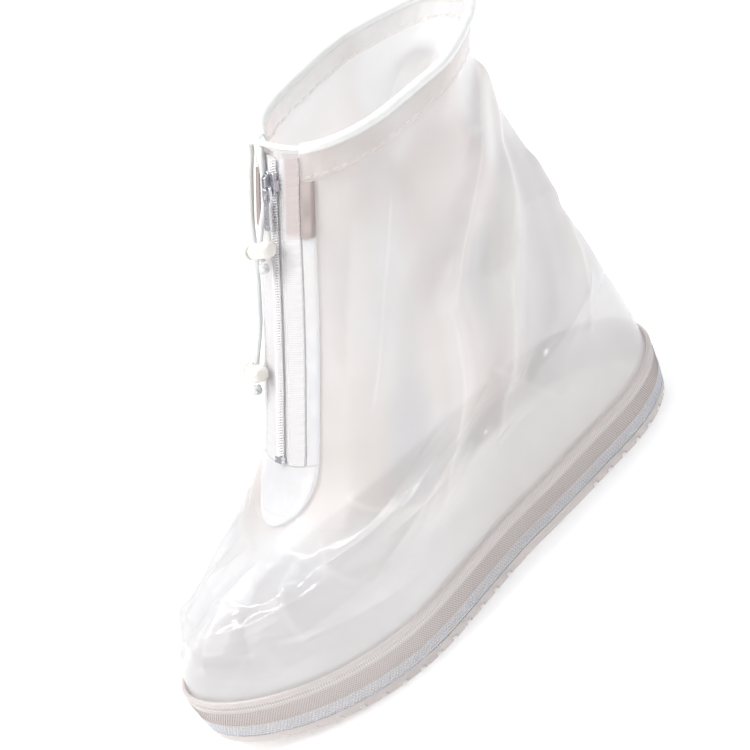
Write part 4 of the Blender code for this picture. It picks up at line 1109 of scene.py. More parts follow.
def buildSoleTray():
    look = soleLook
    angles = ringAngles(look["columns"])
    wall = TrayWall(angles)
    count = len(angles)
    top = lipRing()
    stack, drops = [], []

    def addRing(ring, drop):
        stack.append(ring)
        drops.append(np.broadcast_to(drop, (count,)))

    def level(along, out):
        return trayPoint(angles, np.full(count, along), np.full(count, out))

    def lifted(ring, height):
        ring = ring.copy()
        ring[:, 2] = height + cover["toeSpring"] * toeShare(ring[:, 1])
        return ring

    addRing(lifted(level(0.0, wall.inside), soleTop), -0.02)
    for along in np.linspace(0.08, top, look["innerRows"]):
        addRing(level(along, wall.inside), -0.004)
    half = cover["soleWall"] / 2
    for turn in np.linspace(math.pi, 0.0, look["lipRows"])[1:-1]:
        ring = level(top, wall.inside + half + half * math.cos(turn))
        ring[:, 2] += math.sin(turn) * look["lipRound"] * 0.6
        addRing(ring, 0.0)
    foot = np.array([np.interp(0.0, wall.steps[::-1], wall.drops[::-1, column]) for column in range(count)])
    for share in np.linspace(0.0, 1.0, look["wallRows"]):
        drop = foot * share
        along = np.array([wall.along(column, drop[column]) for column in range(count)])
        addRing(trayPoint(angles, along, wall.outside + trayRelief(drop)), drop)
    edge, out = look["edgeRound"], wall.outside + look["footOut"]
    bottom = level(0.0, out)
    for height in (3.4, 2.2, 1.5, 1.0):
        addRing(lifted(bottom, edge * height), foot + 0.002)
    for turn in np.linspace(0.0, math.pi / 2, 5)[1:]:
        inward = level(0.0, out - edge * 0.7 * (1 - math.cos(turn)))
        addRing(lifted(inward, edge * (1 - math.sin(turn))), foot + 0.002)
    faces = gridFaces(len(stack), count, closed=True)
    for begin in (0, (len(stack) - 1) * count):
        for number in range(count // 2):
            strip = (begin + number, begin + number + 1, begin + (count - number - 1) % count,
                     begin + (count - number) % count)
            faces.append(tuple(dict.fromkeys(strip)))
    tray = makePiece("sole_shell", np.concatenate(stack), faces, soleWallFilm, replaces=["sole_tray"],
                     slot="sole_film", sharp=38, laid=laidOut(wall.walked[None, :-1], np.array(drops)))
    grooves = bmesh.new()
    for y in grooveStations():
        slope = cover["toeSpring"] * (toeShare(y - 0.001) - toeShare(y + 0.001)) / 0.002
        place = (Matrix.Translation((0, y, cover["toeSpring"] * toeShare(y)))
                 @ Matrix.Rotation(-math.atan(slope), 4, "X")
                 @ Matrix.Diagonal((cover["ballWidth"] * 1.3, look["grooveWidth"],
                                    cover["treadDepth"] * 2, 1.0)))
        bmesh.ops.create_cube(grooves, size=1.0, matrix=place)
    cutBy(tray, "grooves", grooves)
    return wall


def cutBy(piece, name, shell):
    # cuts the shell's shape out of the piece and drops the shell
    mesh = bpy.data.meshes.new(name)
    bmesh.ops.recalc_face_normals(shell, faces=shell.faces)
    shell.to_mesh(mesh)
    shell.free()
    cutter = bpy.data.objects.new(name, mesh)
    bpy.context.scene.collection.objects.link(cutter)
    cut = piece.modifiers.new(name, "BOOLEAN")
    cut.operation = "DIFFERENCE"
    cut.solver = "EXACT"
    cut.object = cutter
    bake(piece)
    bpy.data.objects.remove(cutter, do_unlink=True)


def bake(piece):
    # puts the result of the piece's modifiers in its mesh
    bpy.context.view_layer.update()
    held = piece.evaluated_get(bpy.context.evaluated_depsgraph_get())
    mesh = bpy.data.meshes.new_from_object(held)
    piece.modifiers.clear()
    old = piece.data
    piece.data = mesh
    bpy.data.meshes.remove(old)


def addStuds(name, wall, places, shape, rise, finish):
    # small raised shapes on the wall: an outline at the foot and a smaller one on top
    points, faces = [], []
    size = len(shape)
    spots = np.array(places)
    angles = wall.around(spots[:, 0])
    columns = np.searchsorted(wall.angles, np.mod(angles, 2 * np.pi)) % len(wall.angles)
    for (distance, drop), column in zip(spots, columns):
        first = len(points)
        for level, shrink in ((0.0, 1.0), (rise, soleLook["studTop"])):
            for x, y in shape:
                points.append((distance + x * shrink, drop + y * shrink, level, column))
        faces.append(tuple(range(first + size, first + 2 * size)))
        for number in range(size):
            after = (number + 1) % size
            faces.append((first + number, first + after, first + size + after, first + size + number))
    points = np.array(points)
    around = wall.around(points[:, 0])
    along = np.array([wall.along(int(column), drop) for _, drop, _, column in points])
    offset = wall.outside + trayRelief(points[:, 1]) + points[:, 2] - soleLook["studSink"]
    makePiece(name, trayPoint(around, along, offset), faces, finish, sharp=30)


def staggered(total, pitch, drops):
    # spots in rows round the wall, every other row half a pitch on
    pitch = total / round(total / pitch)
    return [(number * pitch + (row % 2) * pitch / 2, drop)
            for row, drop in enumerate(drops) for number in range(round(total / pitch))]


def buildWallBands(wall):
    look = soleLook
    total = wall.walked[-1]
    ribs = np.arange(0.0, total, total / round(total / look["ribPitch"]))
    half = look["ribWidth"] / 2
    reach = (look["ribBottom"] - look["ribTop"]) / 2
    middle = (look["ribTop"] + look["ribBottom"]) / 2
    bar = [(-half, -reach), (half, -reach), (half, reach), (-half, reach)]
    addStuds("wall_ribs", wall, [(spot, middle) for spot in ribs], bar, look["ribRise"], soleRibs)
    rows = int((look["dotBottom"] - look["dotTop"]) / (look["dotPitch"] * look["dotRow"])) + 1
    drops = [look["dotTop"] + look["dotIn"] + row * look["dotPitch"] * look["dotRow"] for row in range(rows)]
    dot = look["dotSize"]
    diamond = [(0, -dot), (dot, 0), (0, dot), (-dot, 0)]
    spots = staggered(total, look["dotPitch"], drops)
    addStuds("wall_dots", wall, spots, diamond, look["dotRise"], soleDots)
    drops = [look["knurlTop"] + look["knurlIn"] + row * look["knurlRow"] for row in range(look["knurlRows"])]
    spots = staggered(total, look["knurlPitch"], drops)
    addStuds("wall_knurls", wall, spots, look["tooth"], look["knurlRise"], soleKnurls)


def soleFinish(name, colour, shade, closed, roughness=0.34):
    finish = Finish(name, colour)
    place = finish.place()
    cloud = finish.noise(place, 60.0, 3.0)
    grain = finish.noise(place, 520.0, 2.0)
    base = finish.mix(cloud * 0.6 + grain * 0.4, shade, colour)
    normal = finish.bump(grain, 0.00012, 0.6)
    shader = finish.principled({
        "Base Color": base, "Roughness": roughness + grain * 0.15, "Normal": normal,
        "Alpha": closed + cloud * 0.08, "Coat Weight": 0.15, "Coat Roughness": 0.2})
    return finish.throughSurface(shader, 0.18, base, normal)


# Colours of the wall, and the distances below its upper edge at which they change
soleWallLook = {
    "colour": (0.74, 0.70, 0.68), "clear": (0.78, 0.73, 0.71), "inner": (0.93, 0.915, 0.905),
    # the dotted band's brown is partly the wall's own tone and partly painted shade: darkest toward the toe,
    # lighter toward the heel
    "front": ((0.20, 0.145, 0.135), (0.26, 0.20, 0.185)),
    "behind": ((0.56, 0.50, 0.48), (0.66, 0.60, 0.58)),
    "tread": ((0.34, 0.39, 0.50), (0.52, 0.565, 0.65)),
    # seam and ribbed are painted shade in the weld groove and between the ribs; foot is painted light on the
    # wall's lowest band
    "foot": (0.93, 0.935, 0.95), "seam": (0.62, 0.56, 0.545), "ribShade": (0.44, 0.385, 0.37),
    "shadeToHeel": (0.01, 0.12), "bandDrop": (0.0046, 0.0070), "treadDrop": (0.0137, 0.0158),
    "footLightDrop": (0.0220, 0.0255), "seamShadeDrop": (0.0018, 0.0023, 0.0024, 0.0030),
    "ribShadeDrop": (0.0018, 0.0024, 0.0047, 0.0053), "innerDrop": (-0.003, 0.0), "closed": (0.74, 0.94),
}


def soleWallFinish():
    # cloudy film at the top of the wall, warm grey over the dotted band, bluish over the tread; painted
    # shade darkens the band toward the toe, the weld groove and the rib zone, and painted light whitens the
    # wall's foot
    look = soleWallLook
    finish = Finish("soleWall", look["colour"])
    place = finish.place()
    _, drop, _ = finish.axes(finish.place("laid"))
    _, far, _ = finish.axes(place)
    cloud = finish.noise(place, 48.0, 3.0)
    grain = finish.noise(place, 620.0, 2.0)
    drift = drop + (cloud - 0.5) * 0.0016
    # painted shade: the dotted band is darker brown toward the toe and lighter toward the heel
    warm = finish.mix(finish.spread(far, *look["shadeToHeel"]), finish.mix(cloud, *look["front"]),
                      finish.mix(cloud, *look["behind"]))
    base = finish.mix(finish.spread(drift, *look["bandDrop"]), look["clear"], warm)
    base = finish.mix(finish.spread(drift, *look["treadDrop"]), base, finish.mix(cloud, *look["tread"]))
    # painted light: the wall's lowest band whitened, standing for strong light on it
    base = finish.mix(finish.spread(drift, *look["footLightDrop"]), base, look["foot"])
    # painted shade in the weld groove below the wall's upper edge
    base = finish.mix(finish.band(drop, *look["seamShadeDrop"]) * 0.7, base, look["seam"])
    # painted shade between the ribs
    base = finish.mix(finish.band(drop, *look["ribShadeDrop"]) * 0.65, base, look["ribShade"])
    base = finish.mix(finish.spread(drop, *look["innerDrop"], 1.0, 0.0), base, look["inner"])
    normal = finish.bump(grain + finish.noise(place, 160.0, 2.0) * 0.6, 0.00012, 0.6)
    shader = finish.principled({
        "Base Color": base, "Roughness": 0.32 + grain * 0.16, "Normal": normal,
        "Alpha": finish.spread(drift, *look["bandDrop"], *look["closed"]),
        "Coat Weight": 0.2, "Coat Roughness": 0.18})
    return finish.throughSurface(shader, 0.18, base, normal)


soleWallFilm = soleWallFinish()
soleRibs = soleFinish("soleRibs", (0.90, 0.88, 0.87), (0.82, 0.79, 0.78), 0.88)
# the dots' brown is partly painted shade, like the band under them
soleDots = soleFinish("soleDots", (0.50, 0.425, 0.40), (0.37, 0.30, 0.28), 0.92)
soleKnurls = soleFinish("soleKnurls", (0.84, 0.86, 0.90), (0.68, 0.72, 0.78), 0.94)
buildWallBands(buildSoleTray())
print("sole tray made")


# Hem with its drawcord and weld dashes

hemLook = {
    "columns": 320, "cordPoints": 400, "foldLine": 0.0008, "loopSteps": 14, "legSteps": 12,
    "puckerPitch": 0.0135, "puckerRise": 0.00035,
    "dashPitch": 0.0046, "dashLength": 0.0030, "dashWidth": 0.0011, "dashRise": 0.0003,
    "dashDown": 0.0112, "dashSink": 0.0002, "besideTape": 0.012,
}


def hemEdgeAngles(along):
    # the hem ends beside the tapes
    return angleAside(np.full(np.shape(along), cover["slit"] / 2 + hemLook["besideTape"]), along)


class HemWrap:
    # places round the rim: column share 0 to 1 from the left end round the back, out and up
    def __init__(self, count):
        self.shares = np.linspace(0.0, 1.0, count)
        self.top = self.frames(np.full(count, topRing))

    def angles(self, along):
        edge = hemEdgeAngles(along)
        return edge + (2 * np.pi - 2 * edge) * self.shares

    def frames(self, along):
        angle = self.angles(along)
        rim = foldedPoints(angle, topRing)
        out = filmNormals(angle, np.full(angle.shape, topRing))
        upward = rim - foldedPoints(angle, topRing - 0.1)
        upward = unit(upward - out * np.sum(upward * out, axis=-1, keepdims=True))
        return rim, out, upward

    def ring(self, out, up):
        if up >= 0:
            rim, away, upward = self.top
            return rim + away * np.asarray(out)[..., None] + upward * up
        along = np.full(self.shares.shape, float(ringAtDown(-up)))
        angle = self.angles(along)
        return foldedPoints(angle, along) + filmNormals(angle, along) * np.asarray(out)[..., None]


def hemSection(wall):
    look = hemLook
    leg = cover["filmWall"] / 2 + cover["gap"] + wall
    radius = cover["cordDiameter"] / 2 + cover["gap"] + wall
    downs = np.linspace(cover["hemDepth"], look["foldLine"], look["legSteps"])
    section = [(leg, -down) for down in downs]
    section += [(radius * math.cos(turn), cordRise + radius * math.sin(turn))
                for turn in np.linspace(0.0, math.pi, look["loopSteps"])]
    return section + [(-leg, -down) for down in downs[::-1]]


def buildHem():
    look = hemLook
    wrap = HemWrap(look["columns"])
    girth = np.linalg.norm(np.diff(wrap.top[0], axis=0), axis=-1).sum()
    pucker = np.sin(wrap.shares * girth / look["puckerPitch"] * 2 * np.pi + 2.2 * np.sin(wrap.shares * 21))
    section = hemSection(cover["hemWall"])
    stack = []
    for out, up in section:
        ease = float(smoothStep(0.0, 0.006, -up)) if up < 0 else 0.25
        stack.append(wrap.ring(out + pucker * look["puckerRise"] * ease * np.sign(out), up))
    count = look["columns"]
    laid = laidOut(np.tile(wrap.shares * girth, len(stack)), np.repeat([up for _, up in section], count))
    makePiece("hem_casing", np.concatenate(stack), gridFaces(len(stack), count), hemFilm,
              replaces=["collar_casing"], slot="film", sharp=None, laid=laid)
    buildHemDashes(wrap, girth, pucker)
    fine = HemWrap(look["cordPoints"])
    line = fine.ring(np.zeros(look["cordPoints"]), cordRise)
    points, faces, laid = tubeMesh(line, cover["cordDiameter"] / 2, cordSides)
    makePiece("hem_cord", points, faces, braidedElastic, replaces=["drawcord"], slot="elastic", laid=laid)


def buildHemDashes(wrap, girth, pucker):
    # a row of small weld marks on each side, which hold the hem's legs to the film
    look = hemLook
    points, faces = [], []
    number = int(girth / look["dashPitch"])
    for side in (1, -1):
        leg = cover["filmWall"] / 2 + cover["gap"] + cover["hemWall"]
        for step in range(1, number):
            middle = step / number
            half = look["dashLength"] / girth / 2
            wave = float(np.interp(middle, wrap.shares, pucker)) * look["puckerRise"]
            first = len(points)
            for rise, shrink in ((-look["dashSink"], 1.0), (look["dashRise"], 0.72)):
                for x, y in ((-1, -1), (0, -1.15), (1, -1), (1, 1), (0, 1.15), (-1, 1)):
                    points.append((middle + x * half * shrink,
                                   look["dashDown"] + y * look["dashWidth"] / 2 * shrink,
                                   side * (leg + rise + wave)))
            faces.append(tuple(first + 6 + corner for corner in range(6)))
            for corner in range(6):
                after = (corner + 1) % 6
                faces.append((first + corner, first + after, first + 6 + after, first + 6 + corner))
    points = np.array(points)
    along = ringAtDown(points[:, 1])
    edge = hemEdgeAngles(along)
    angle = edge + (2 * np.pi - 2 * edge) * points[:, 0]
    place = foldedPoints(angle, along) + filmNormals(angle, along) * points[:, 2:3]
    makePiece("hem_dashes", place, faces, weldFilm, sharp=30)


buildHem()
print("hem made")


# Zip: tapes, coil, plackets, end patch

zipLook = {
    "tape": 0.012, "tapeWall": 0.0009, "coilGap": 0.0005, "coilHeight": 0.0018, "coilHalf": 0.0023,
    "pitch": 0.00125, "strand": 0.00036, "top": 0.002, "placket": 0.0070, "placketWall": 0.0010,
    "blockLength": 0.026, "blockWall": 0.0019, "patchLength": 0.030, "patchWall": 0.0010,
    "stopLength": 0.0035, "stitch": 0.0021,
    "ridge": (0.0062, 0.0007, 0.00022), "seam": (0.0138, 0.0006, 0.00018),
    "waveRise": 0.00008, "waveLength": 0.0042,
    "placketSeam": (0.16, 0.05, -0.00022), "placketWaveRise": 0.0001, "placketWaveLength": 0.017,
    "patchWeld": (0.0016, 0.0005, 0.0003), "patchHollow": (0.0030, 0.0005, -0.00028),
    "patchSpot": 0.0015, "patchSpotRise": -0.0004,
    "stitchRows": ((0.0033, 0.00017), (0.0047, 0.00017), (0.0143, 0.00014)),
    "stitchIn": 0.002, "stitchEnd": 0.008, "stitchRise": 0.00024, "stitchSink": 0.00004,
}
zipEndDown = float(downAtRing(cover["zipEnd"]))
coilBase = cover["gap"] + zipLook["tapeWall"] + zipLook["coilGap"]


def buildSheet(name, downs, asides, low, high, finish, replaces=(), slot=None, edge=0.0004):
    # a strip laid over the film with rounded rims: asides may follow the distance down
    downs = np.asarray(downs, float)
    columns = np.array([asides(down) if callable(asides) else asides for down in downs])
    tops = np.array([high(down, row) if callable(high) else np.full(len(row), high)
                     for down, row in zip(downs, columns)])
    inset = np.sign(columns - columns.mean(axis=1, keepdims=True)) * edge
    rim = np.zeros(columns.shape)
    rim[:, 0] = rim[:, -1] = 1.0
    place = np.repeat(downs[:, None], columns.shape[1], axis=1)
    upper = seatPoints(place, columns - inset * rim * 0.5, tops - edge * rim)
    lower = seatPoints(place, columns, np.full(columns.shape, low))
    rows, count = columns.shape
    faces = gridFaces(rows, count)
    shift = rows * count
    faces += [tuple(shift + corner for corner in face[::-1]) for face in gridFaces(rows, count)]
    for column in (0, count - 1):
        for row in range(rows - 1):
            a, b = row * count + column, (row + 1) * count + column
            faces.append((a, b, shift + b, shift + a))
    for row in (0, rows - 1):
        for column in range(count - 1):
            a, b = row * count + column, row * count + column + 1
            faces.append((a, b, shift + b, shift + a))
    points = np.concatenate([upper.reshape(-1, 3), lower.reshape(-1, 3)])
    laid = laidOut(columns, place).reshape(-1, 3)
    makePiece(name, points, faces, finish, replaces=replaces, slot=slot, sharp=50,
              laid=np.concatenate([laid, laid]))


def buildTapes():
    look = zipLook
    downs = np.linspace(look["top"], zipEndDown - cover["gap"], 420)
    low = cover["gap"]
    for side, name in ((1, "left"), (-1, "right")):
        asides = side * np.linspace(cover["gap"] / 2, cover["slit"] / 2 + look["tape"] - cover["gap"], 20)

        def surface(down, row, side=side):
            reach = np.abs(row)
            wave = look["waveRise"] * math.sin(down / look["waveLength"] * 2 * math.pi + side)
            wave = wave * smoothStep(0.006, 0.013, reach)
            return low + look["tapeWall"] + swell(reach, *look["ridge"]) + swell(reach, *look["seam"]) + wave

        buildSheet("tape_" + name, downs, asides, low, surface, knittedTape,
                   replaces=["zip_tape_" + name], slot="knit")


def buildCoil():
    # the two halves are wound strands whose loops mesh along the zip's middle
    look = zipLook
    end = zipEndDown - look["stopLength"] - 2 * cover["gap"]
    loops = int((end - look["top"]) / look["pitch"])
    turn = np.linspace(0.0, loops * 2 * math.pi, loops * 10 + 1)
    tubes = []
    for side, start in ((1, 0.25), (-1, 0.75)):
        down = look["top"] + look["pitch"] * (turn / (2 * math.pi) + start)
        reach = look["coilHalf"] / 2 + (look["coilHalf"] / 2 - look["strand"] * 0.3) * np.cos(turn)
        above = coilBase + look["coilHeight"] / 2 + (look["coilHeight"] / 2 - look["strand"]) * np.sin(turn)
        tubes.append(tubeMesh(seatPoints(down, side * reach, above), look["strand"], 6))
    makePiece("coil", *joinTubes(tubes), nylonCoil, replaces=["zip_coil"], slot="nylon", sharp=None)


def buildStitches():
    # the thread that sews each half of the coil to its tape, and the tape's outer seam
    look = zipLook
    level = cover["gap"] + look["tapeWall"]
    lines, radii = [], []
    for side in (1, -1):
        for reach, radius in look["stitchRows"]:
            for number in range(int((zipEndDown - look["stitchEnd"]) / look["stitch"])):
                start = look["top"] + look["stitchIn"] + number * look["stitch"]
                lines.append([(start + look["stitch"] * share, side * reach,
                               level + look["stitchRise"] * math.sin(math.pi * share) - look["stitchSink"])
                              for share in (0.04, 0.2, 0.5, 0.72, 0.86)])
                radii.append(radius)
    lines = np.array(lines)
    places = seatPoints(lines[..., 0], lines[..., 1], lines[..., 2])
    tubes = [tubeMesh(place, radius, 5) for place, radius in zip(places, radii)]
    makePiece("stitches", *joinTubes(tubes), nylonCoil, sharp=None)


def buildPlackets():
    look = zipLook
    start = cover["hemDepth"] + 2 * cover["gap"]
    blockEnd = start + look["blockLength"]
    inner = cover["slit"] / 2 + look["tape"]

    def surface(down, row, wall):
        reach = (np.abs(row) - inner) / look["placket"]
        wave = look["placketWaveRise"] * math.sin(down / look["placketWaveLength"] * 2 * math.pi)
        return cover["gap"] + wall + swell(reach, *look["placketSeam"]) + wave * np.sin(np.pi * reach)

    for side, name in ((1, "left"), (-1, "right")):
        asides = side * np.linspace(inner, inner + look["placket"], 9)
        downs = np.linspace(blockEnd + 0.0002, zipEndDown - cover["gap"], 150)
        buildSheet("placket_strip_" + name, downs, asides, cover["gap"],
                   lambda down, row: surface(down, row, look["placketWall"]), doubleFilm,
                   replaces=["placket_" + name], slot="film")
        # the thick top end carries the film with painted shadow
        buildSheet("placket_block_" + name, np.linspace(start, blockEnd, 40), asides, cover["gap"],
                   lambda down, row: surface(down, row, look["blockWall"]), blockShadowFilm, slot="film")


def buildEndPatch():
    look = zipLook
    start = zipEndDown + cover["gap"]
    reach = cover["slit"] / 2 + look["tape"] + look["placket"]
    downs = start + look["patchLength"] * (1 - (1 - np.linspace(0.0, 1.0, 46)) ** 1.6)

    def halfAt(down):
        turn = min(max((down - start) / look["patchLength"], 0.0), 1.0)
        return turn, reach * math.sqrt(max(1 - turn * turn, 0.02))

    def asides(down):
        return np.linspace(-1, 1, 31) * reach * math.sqrt(max(1 - halfAt(down)[0] ** 2, 0.02))

    def surface(down, row):
        turn, half = halfAt(down)
        fromEdge = np.minimum(half - np.abs(row), (1 - turn) * look["patchLength"] * 0.6)
        middle = (down - start - 0.5 * look["patchLength"]) ** 2
        spot = look["patchSpotRise"] * np.exp(-(row ** 2 + middle) / look["patchSpot"] ** 2)
        return (cover["gap"] * 2 + look["patchWall"] + swell(fromEdge, *look["patchWeld"])
                + swell(fromEdge, *look["patchHollow"]) + spot)

    buildSheet("zip_patch", downs, asides, cover["gap"] * 2, surface, doubleFilm,
               replaces=["zip_end_patch"], slot="film")


sliderLook = {
    "drop": 0.0135, "length": 0.0112, "width": 0.0080, "shoulder": 0.0066, "wall": 0.0011,
    "flangeWall": 0.0013, "flangeStart": 0.0017, "flangeEnd": 0.0037,
    "bridgeLength": 0.0080, "bridgeWidth": 0.0022, "bridgeHeight": 0.0034, "bridgeWall": 0.0011,
    "tabLength": 0.0215, "tabWidth": 0.0066, "tabWall": 0.0013, "eyeLength": 0.0058, "eyeWidth": 0.0034,
    "pivot": 0.0052, "stopLength": 0.0035, "stopWidth": 0.0062, "stopHeight": 0.0021, "bevel": 0.00028,
}
sliderTop = coilBase + zipLook["coilHeight"] + cover["gap"] + sliderLook["wall"]


def roundCorner(before, corner, after, radius, steps):
    # the points of a corner rounded by a curve that starts and ends on its sides
    before, corner, after = (np.array(point, float) for point in (before, corner, after))
    reach = min(radius, np.linalg.norm(before - corner) * 0.45, np.linalg.norm(after - corner) * 0.45)
    start = corner + unit(before - corner) * reach
    end = corner + unit(after - corner) * reach
    shares = [step / steps for step in range(steps + 1)]
    return [tuple((1 - share) ** 2 * start + 2 * share * (1 - share) * corner + share ** 2 * end)
            for share in shares]


def smoothOutline(corners, radius, steps=5):
    # a closed outline with rounded corners
    made = []
    for number, corner in enumerate(corners):
        made += roundCorner(corners[number - 1], corner, corners[(number + 1) % len(corners)], radius, steps)
    return made


def mirrored(right):
    # a closed outline from its right half
    return right + [(-x, y) for x, y in reversed(right)]


def addPlate(shell, outline, low, high, turn=None):
    # a flat piece from an outline in x and y, raised from low to high
    bottom = [shell.verts.new((x, y, low)) for x, y in outline]
    top = [shell.verts.new((x, y, high)) for x, y in outline]
    shell.faces.new(list(reversed(bottom)))
    shell.faces.new(top)
    for number in range(len(outline)):
        after = (number + 1) % len(outline)
        shell.faces.new((bottom[number], bottom[after], top[after], top[number]))
    if turn is not None:
        bmesh.ops.transform(shell, matrix=turn, verts=bottom + top)


def metalPiece(name, shell, place, body, replaces, finish=platedMetal):
    bmesh.ops.recalc_face_normals(shell, faces=shell.faces)
    bmesh.ops.transform(shell, matrix=place, verts=shell.verts)
    mesh = bpy.data.meshes.new(name)
    shell.to_mesh(mesh)
    shell.free()
    piece = bpy.data.objects.new(name, mesh)
    bpy.context.scene.collection.objects.link(piece)
    edges = piece.modifiers.new("rounded edges", "BEVEL")
    edges.width = sliderLook["bevel"]
    edges.segments = 3
    edges.limit_method = "ANGLE"
    edges.angle_limit = math.radians(35)
    bake(piece)
    piece.data.shade_smooth()
    piece.data.set_sharp_from_angle(angle=math.radians(50))
    return settle(piece, finish, body, replaces, "metal")


def buildSlider(place):
    look = sliderLook
    halfWide, halfBody, shoulder = look["width"] / 2, look["length"] / 2, look["shoulder"] / 2
    right = [(0.0006, -halfBody * 0.80), (shoulder * 0.55, -halfBody), (shoulder, -halfBody * 0.9),
             (halfWide, -halfBody * 0.35), (halfWide, halfBody * 0.62), (shoulder * 0.92, halfBody)]
    outline = smoothOutline(mirrored(right), 0.0011)
    shell = bmesh.new()
    addPlate(shell, outline, sliderTop - look["wall"], sliderTop)
    inner = zipLook["coilHalf"] + cover["gap"]
    outer = inner + look["flangeWall"]
    for side in (1, -1):
        corners = [(side * inner, -look["flangeStart"]), (side * outer, -look["flangeStart"]),
                   (side * outer, look["flangeEnd"]), (side * inner, look["flangeEnd"])]
        addPlate(shell, smoothOutline(corners[::side], 0.0004), coilBase, sliderTop - look["wall"] * 0.5)
    centre = -halfBody + look["pivot"]
    half, wall, base = look["bridgeLength"] / 2, look["bridgeWall"], sliderTop - look["wall"] * 0.5
    crown = sliderTop + look["bridgeHeight"]
    outerArc = [(-half, base), (-half, crown - wall * 1.3), (-half + wall * 1.3, crown),
                (half - wall * 1.3, crown), (half, crown - wall * 1.3), (half, base)]
    innerArc = [(half - wall, base), (half - wall, crown - wall * 1.7), (half - wall * 1.7, crown - wall),
                (-half + wall * 1.7, crown - wall), (-half + wall, crown - wall * 1.7), (-half + wall, base)]
    bend = Matrix(((0, 0, 1, 0), (1, 0, 0, centre), (0, 1, 0, 0), (0, 0, 0, 1)))
    addPlate(shell, smoothOutline(outerArc + innerArc, 0.0006, 3), -look["bridgeWidth"] / 2,
             look["bridgeWidth"] / 2, bend)
    metalPiece("slider", shell, place, "cover", ["zip_slider"], sliderMetalShaded)


def buildTab(place):
    # a flat tab with an eye, a raised rim round a sunk panel and a round bar at the hinge
    look = sliderLook
    wall = look["tabWall"]
    bar = (-look["length"] / 2 + look["pivot"] + look["bridgeLength"] / 2 - look["bridgeWall"]
           - cover["gap"] - wall / 2)
    pivot = place @ Matrix.Translation((0, bar, sliderTop + (look["bridgeHeight"] - look["bridgeWall"]) / 2))
    half = look["tabWidth"] / 2
    bottom = look["tabLength"] - wall / 2
    right = [(half * 0.84, 0.0), (half, wall * 1.6), (half * 0.98, look["eyeLength"]),
             (half * 0.64, look["eyeLength"] * 1.4), (half * 0.66, bottom * 0.55),
             (half * 0.80, bottom * 0.94), (half * 0.50, bottom)]
    shell = bmesh.new()
    addPlate(shell, smoothOutline(mirrored(right), 0.0009), -wall / 2, wall / 2)
    tab = metalPiece("pull_tab_plate", shell, pivot, "pull_tab", ["zip_pull"])
    eye = bmesh.new()
    eyeHalf = look["eyeWidth"] / 2
    eyeEnd = look["eyeLength"] + wall / 2
    corners = [(-eyeHalf, -wall), (eyeHalf, -wall), (eyeHalf, eyeEnd), (-eyeHalf, eyeEnd)]
    addPlate(eye, smoothOutline(corners, 0.0007), -wall, wall)
    start = look["eyeLength"] * 1.6
    panel = [(-half * 0.36, start), (half * 0.36, start), (half * 0.46, bottom * 0.90),
             (-half * 0.46, bottom * 0.90)]
    for side in (1, -1):
        low, high = sorted((side * wall, side * wall * 0.26))
        addPlate(eye, smoothOutline(panel, 0.0005), low, high)
    bmesh.ops.transform(eye, matrix=pivot, verts=eye.verts)
    cutBy(tab, "tab_eye", eye)
    tab.data.shade_smooth()
    tab.data.set_sharp_from_angle(angle=math.radians(40))
    points, faces = turned([(-half * 0.84, 0), (-half * 0.84, wall / 2), (half * 0.84, wall / 2),
                            (half * 0.84, 0)], 24)
    makePiece("pull_tab_bar", moved(points, pivot), faces, platedMetal, body="pull_tab", sharp=40)


def buildStop():
    look = sliderLook
    place = seatFrame(zipEndDown - look["stopLength"] / 2 - cover["gap"], 0.0, 0.0)
    half, long = look["stopWidth"] / 2, look["stopLength"] / 2
    right = [(half * 0.86, -long), (half, -long * 0.5), (half * 0.9, -long * 0.12),
             (half * 0.9, long * 0.12), (half, long * 0.5), (half * 0.86, long)]
    shell = bmesh.new()
    addPlate(shell, smoothOutline(mirrored(right), 0.0004), coilBase, coilBase + look["stopHeight"])
    metalPiece("bottom_stop", shell, place, "cover", ["zip_stop"])


buildTapes()
buildCoil()
buildStitches()
buildPlackets()
buildEndPatch()
print("zip made")


# Cord locks and knots

lockLook = {
    "barrel": 0.0084, "length": 0.0150, "bore": 0.0056, "endWall": 0.0016, "hole": 0.0038,
    "fromMouth": 0.0055, "shaft": 0.0050, "head": 0.0072, "headLength": 0.0028, "neck": 0.0038,
    "travel": 0.0032, "tip": 0.0010, "tilt": 3.0, "sides": 56,
    "knot": 0.0056, "knotLength": 0.0060, "strand": 0.0012,
    "grip": ((0.0022, 1.0), (0.0018, 0.94), (0.0012, 0.94), (0.0008, 1.0)),
}


def turned(profile, sides):
    # a turned body about x, from rows of distance along it and radius
    points, faces = [], []
    rows = []
    for x, radius in profile:
        first = len(points)
        if radius < 1e-6:
            points.append((x, 0.0, 0.0))
            rows.append([first])
        else:
            for number in range(sides):
                turn = 2 * math.pi * number / sides
                points.append((x, radius * math.cos(turn), radius * math.sin(turn)))
            rows.append(list(range(first, first + sides)))
    for low, high in zip(rows, rows[1:]):
        for number in range(sides):
            after = (number + 1) % sides
            if len(low) == 1:
                faces.append((low[0], high[number], high[after]))
            elif len(high) == 1:
                faces.append((low[number], high[0], low[after]))
            else:
                faces.append((low[number], high[number], high[after], low[after]))
    return points, faces


def rounded(corners, radius, steps=4):
    # a profile with its inner corners rounded
    made = [corners[0]]
    for before, corner, after in zip(corners, corners[1:], corners[2:]):
        made += roundCorner(before, corner, after, radius, steps)
    return made + [corners[-1]]


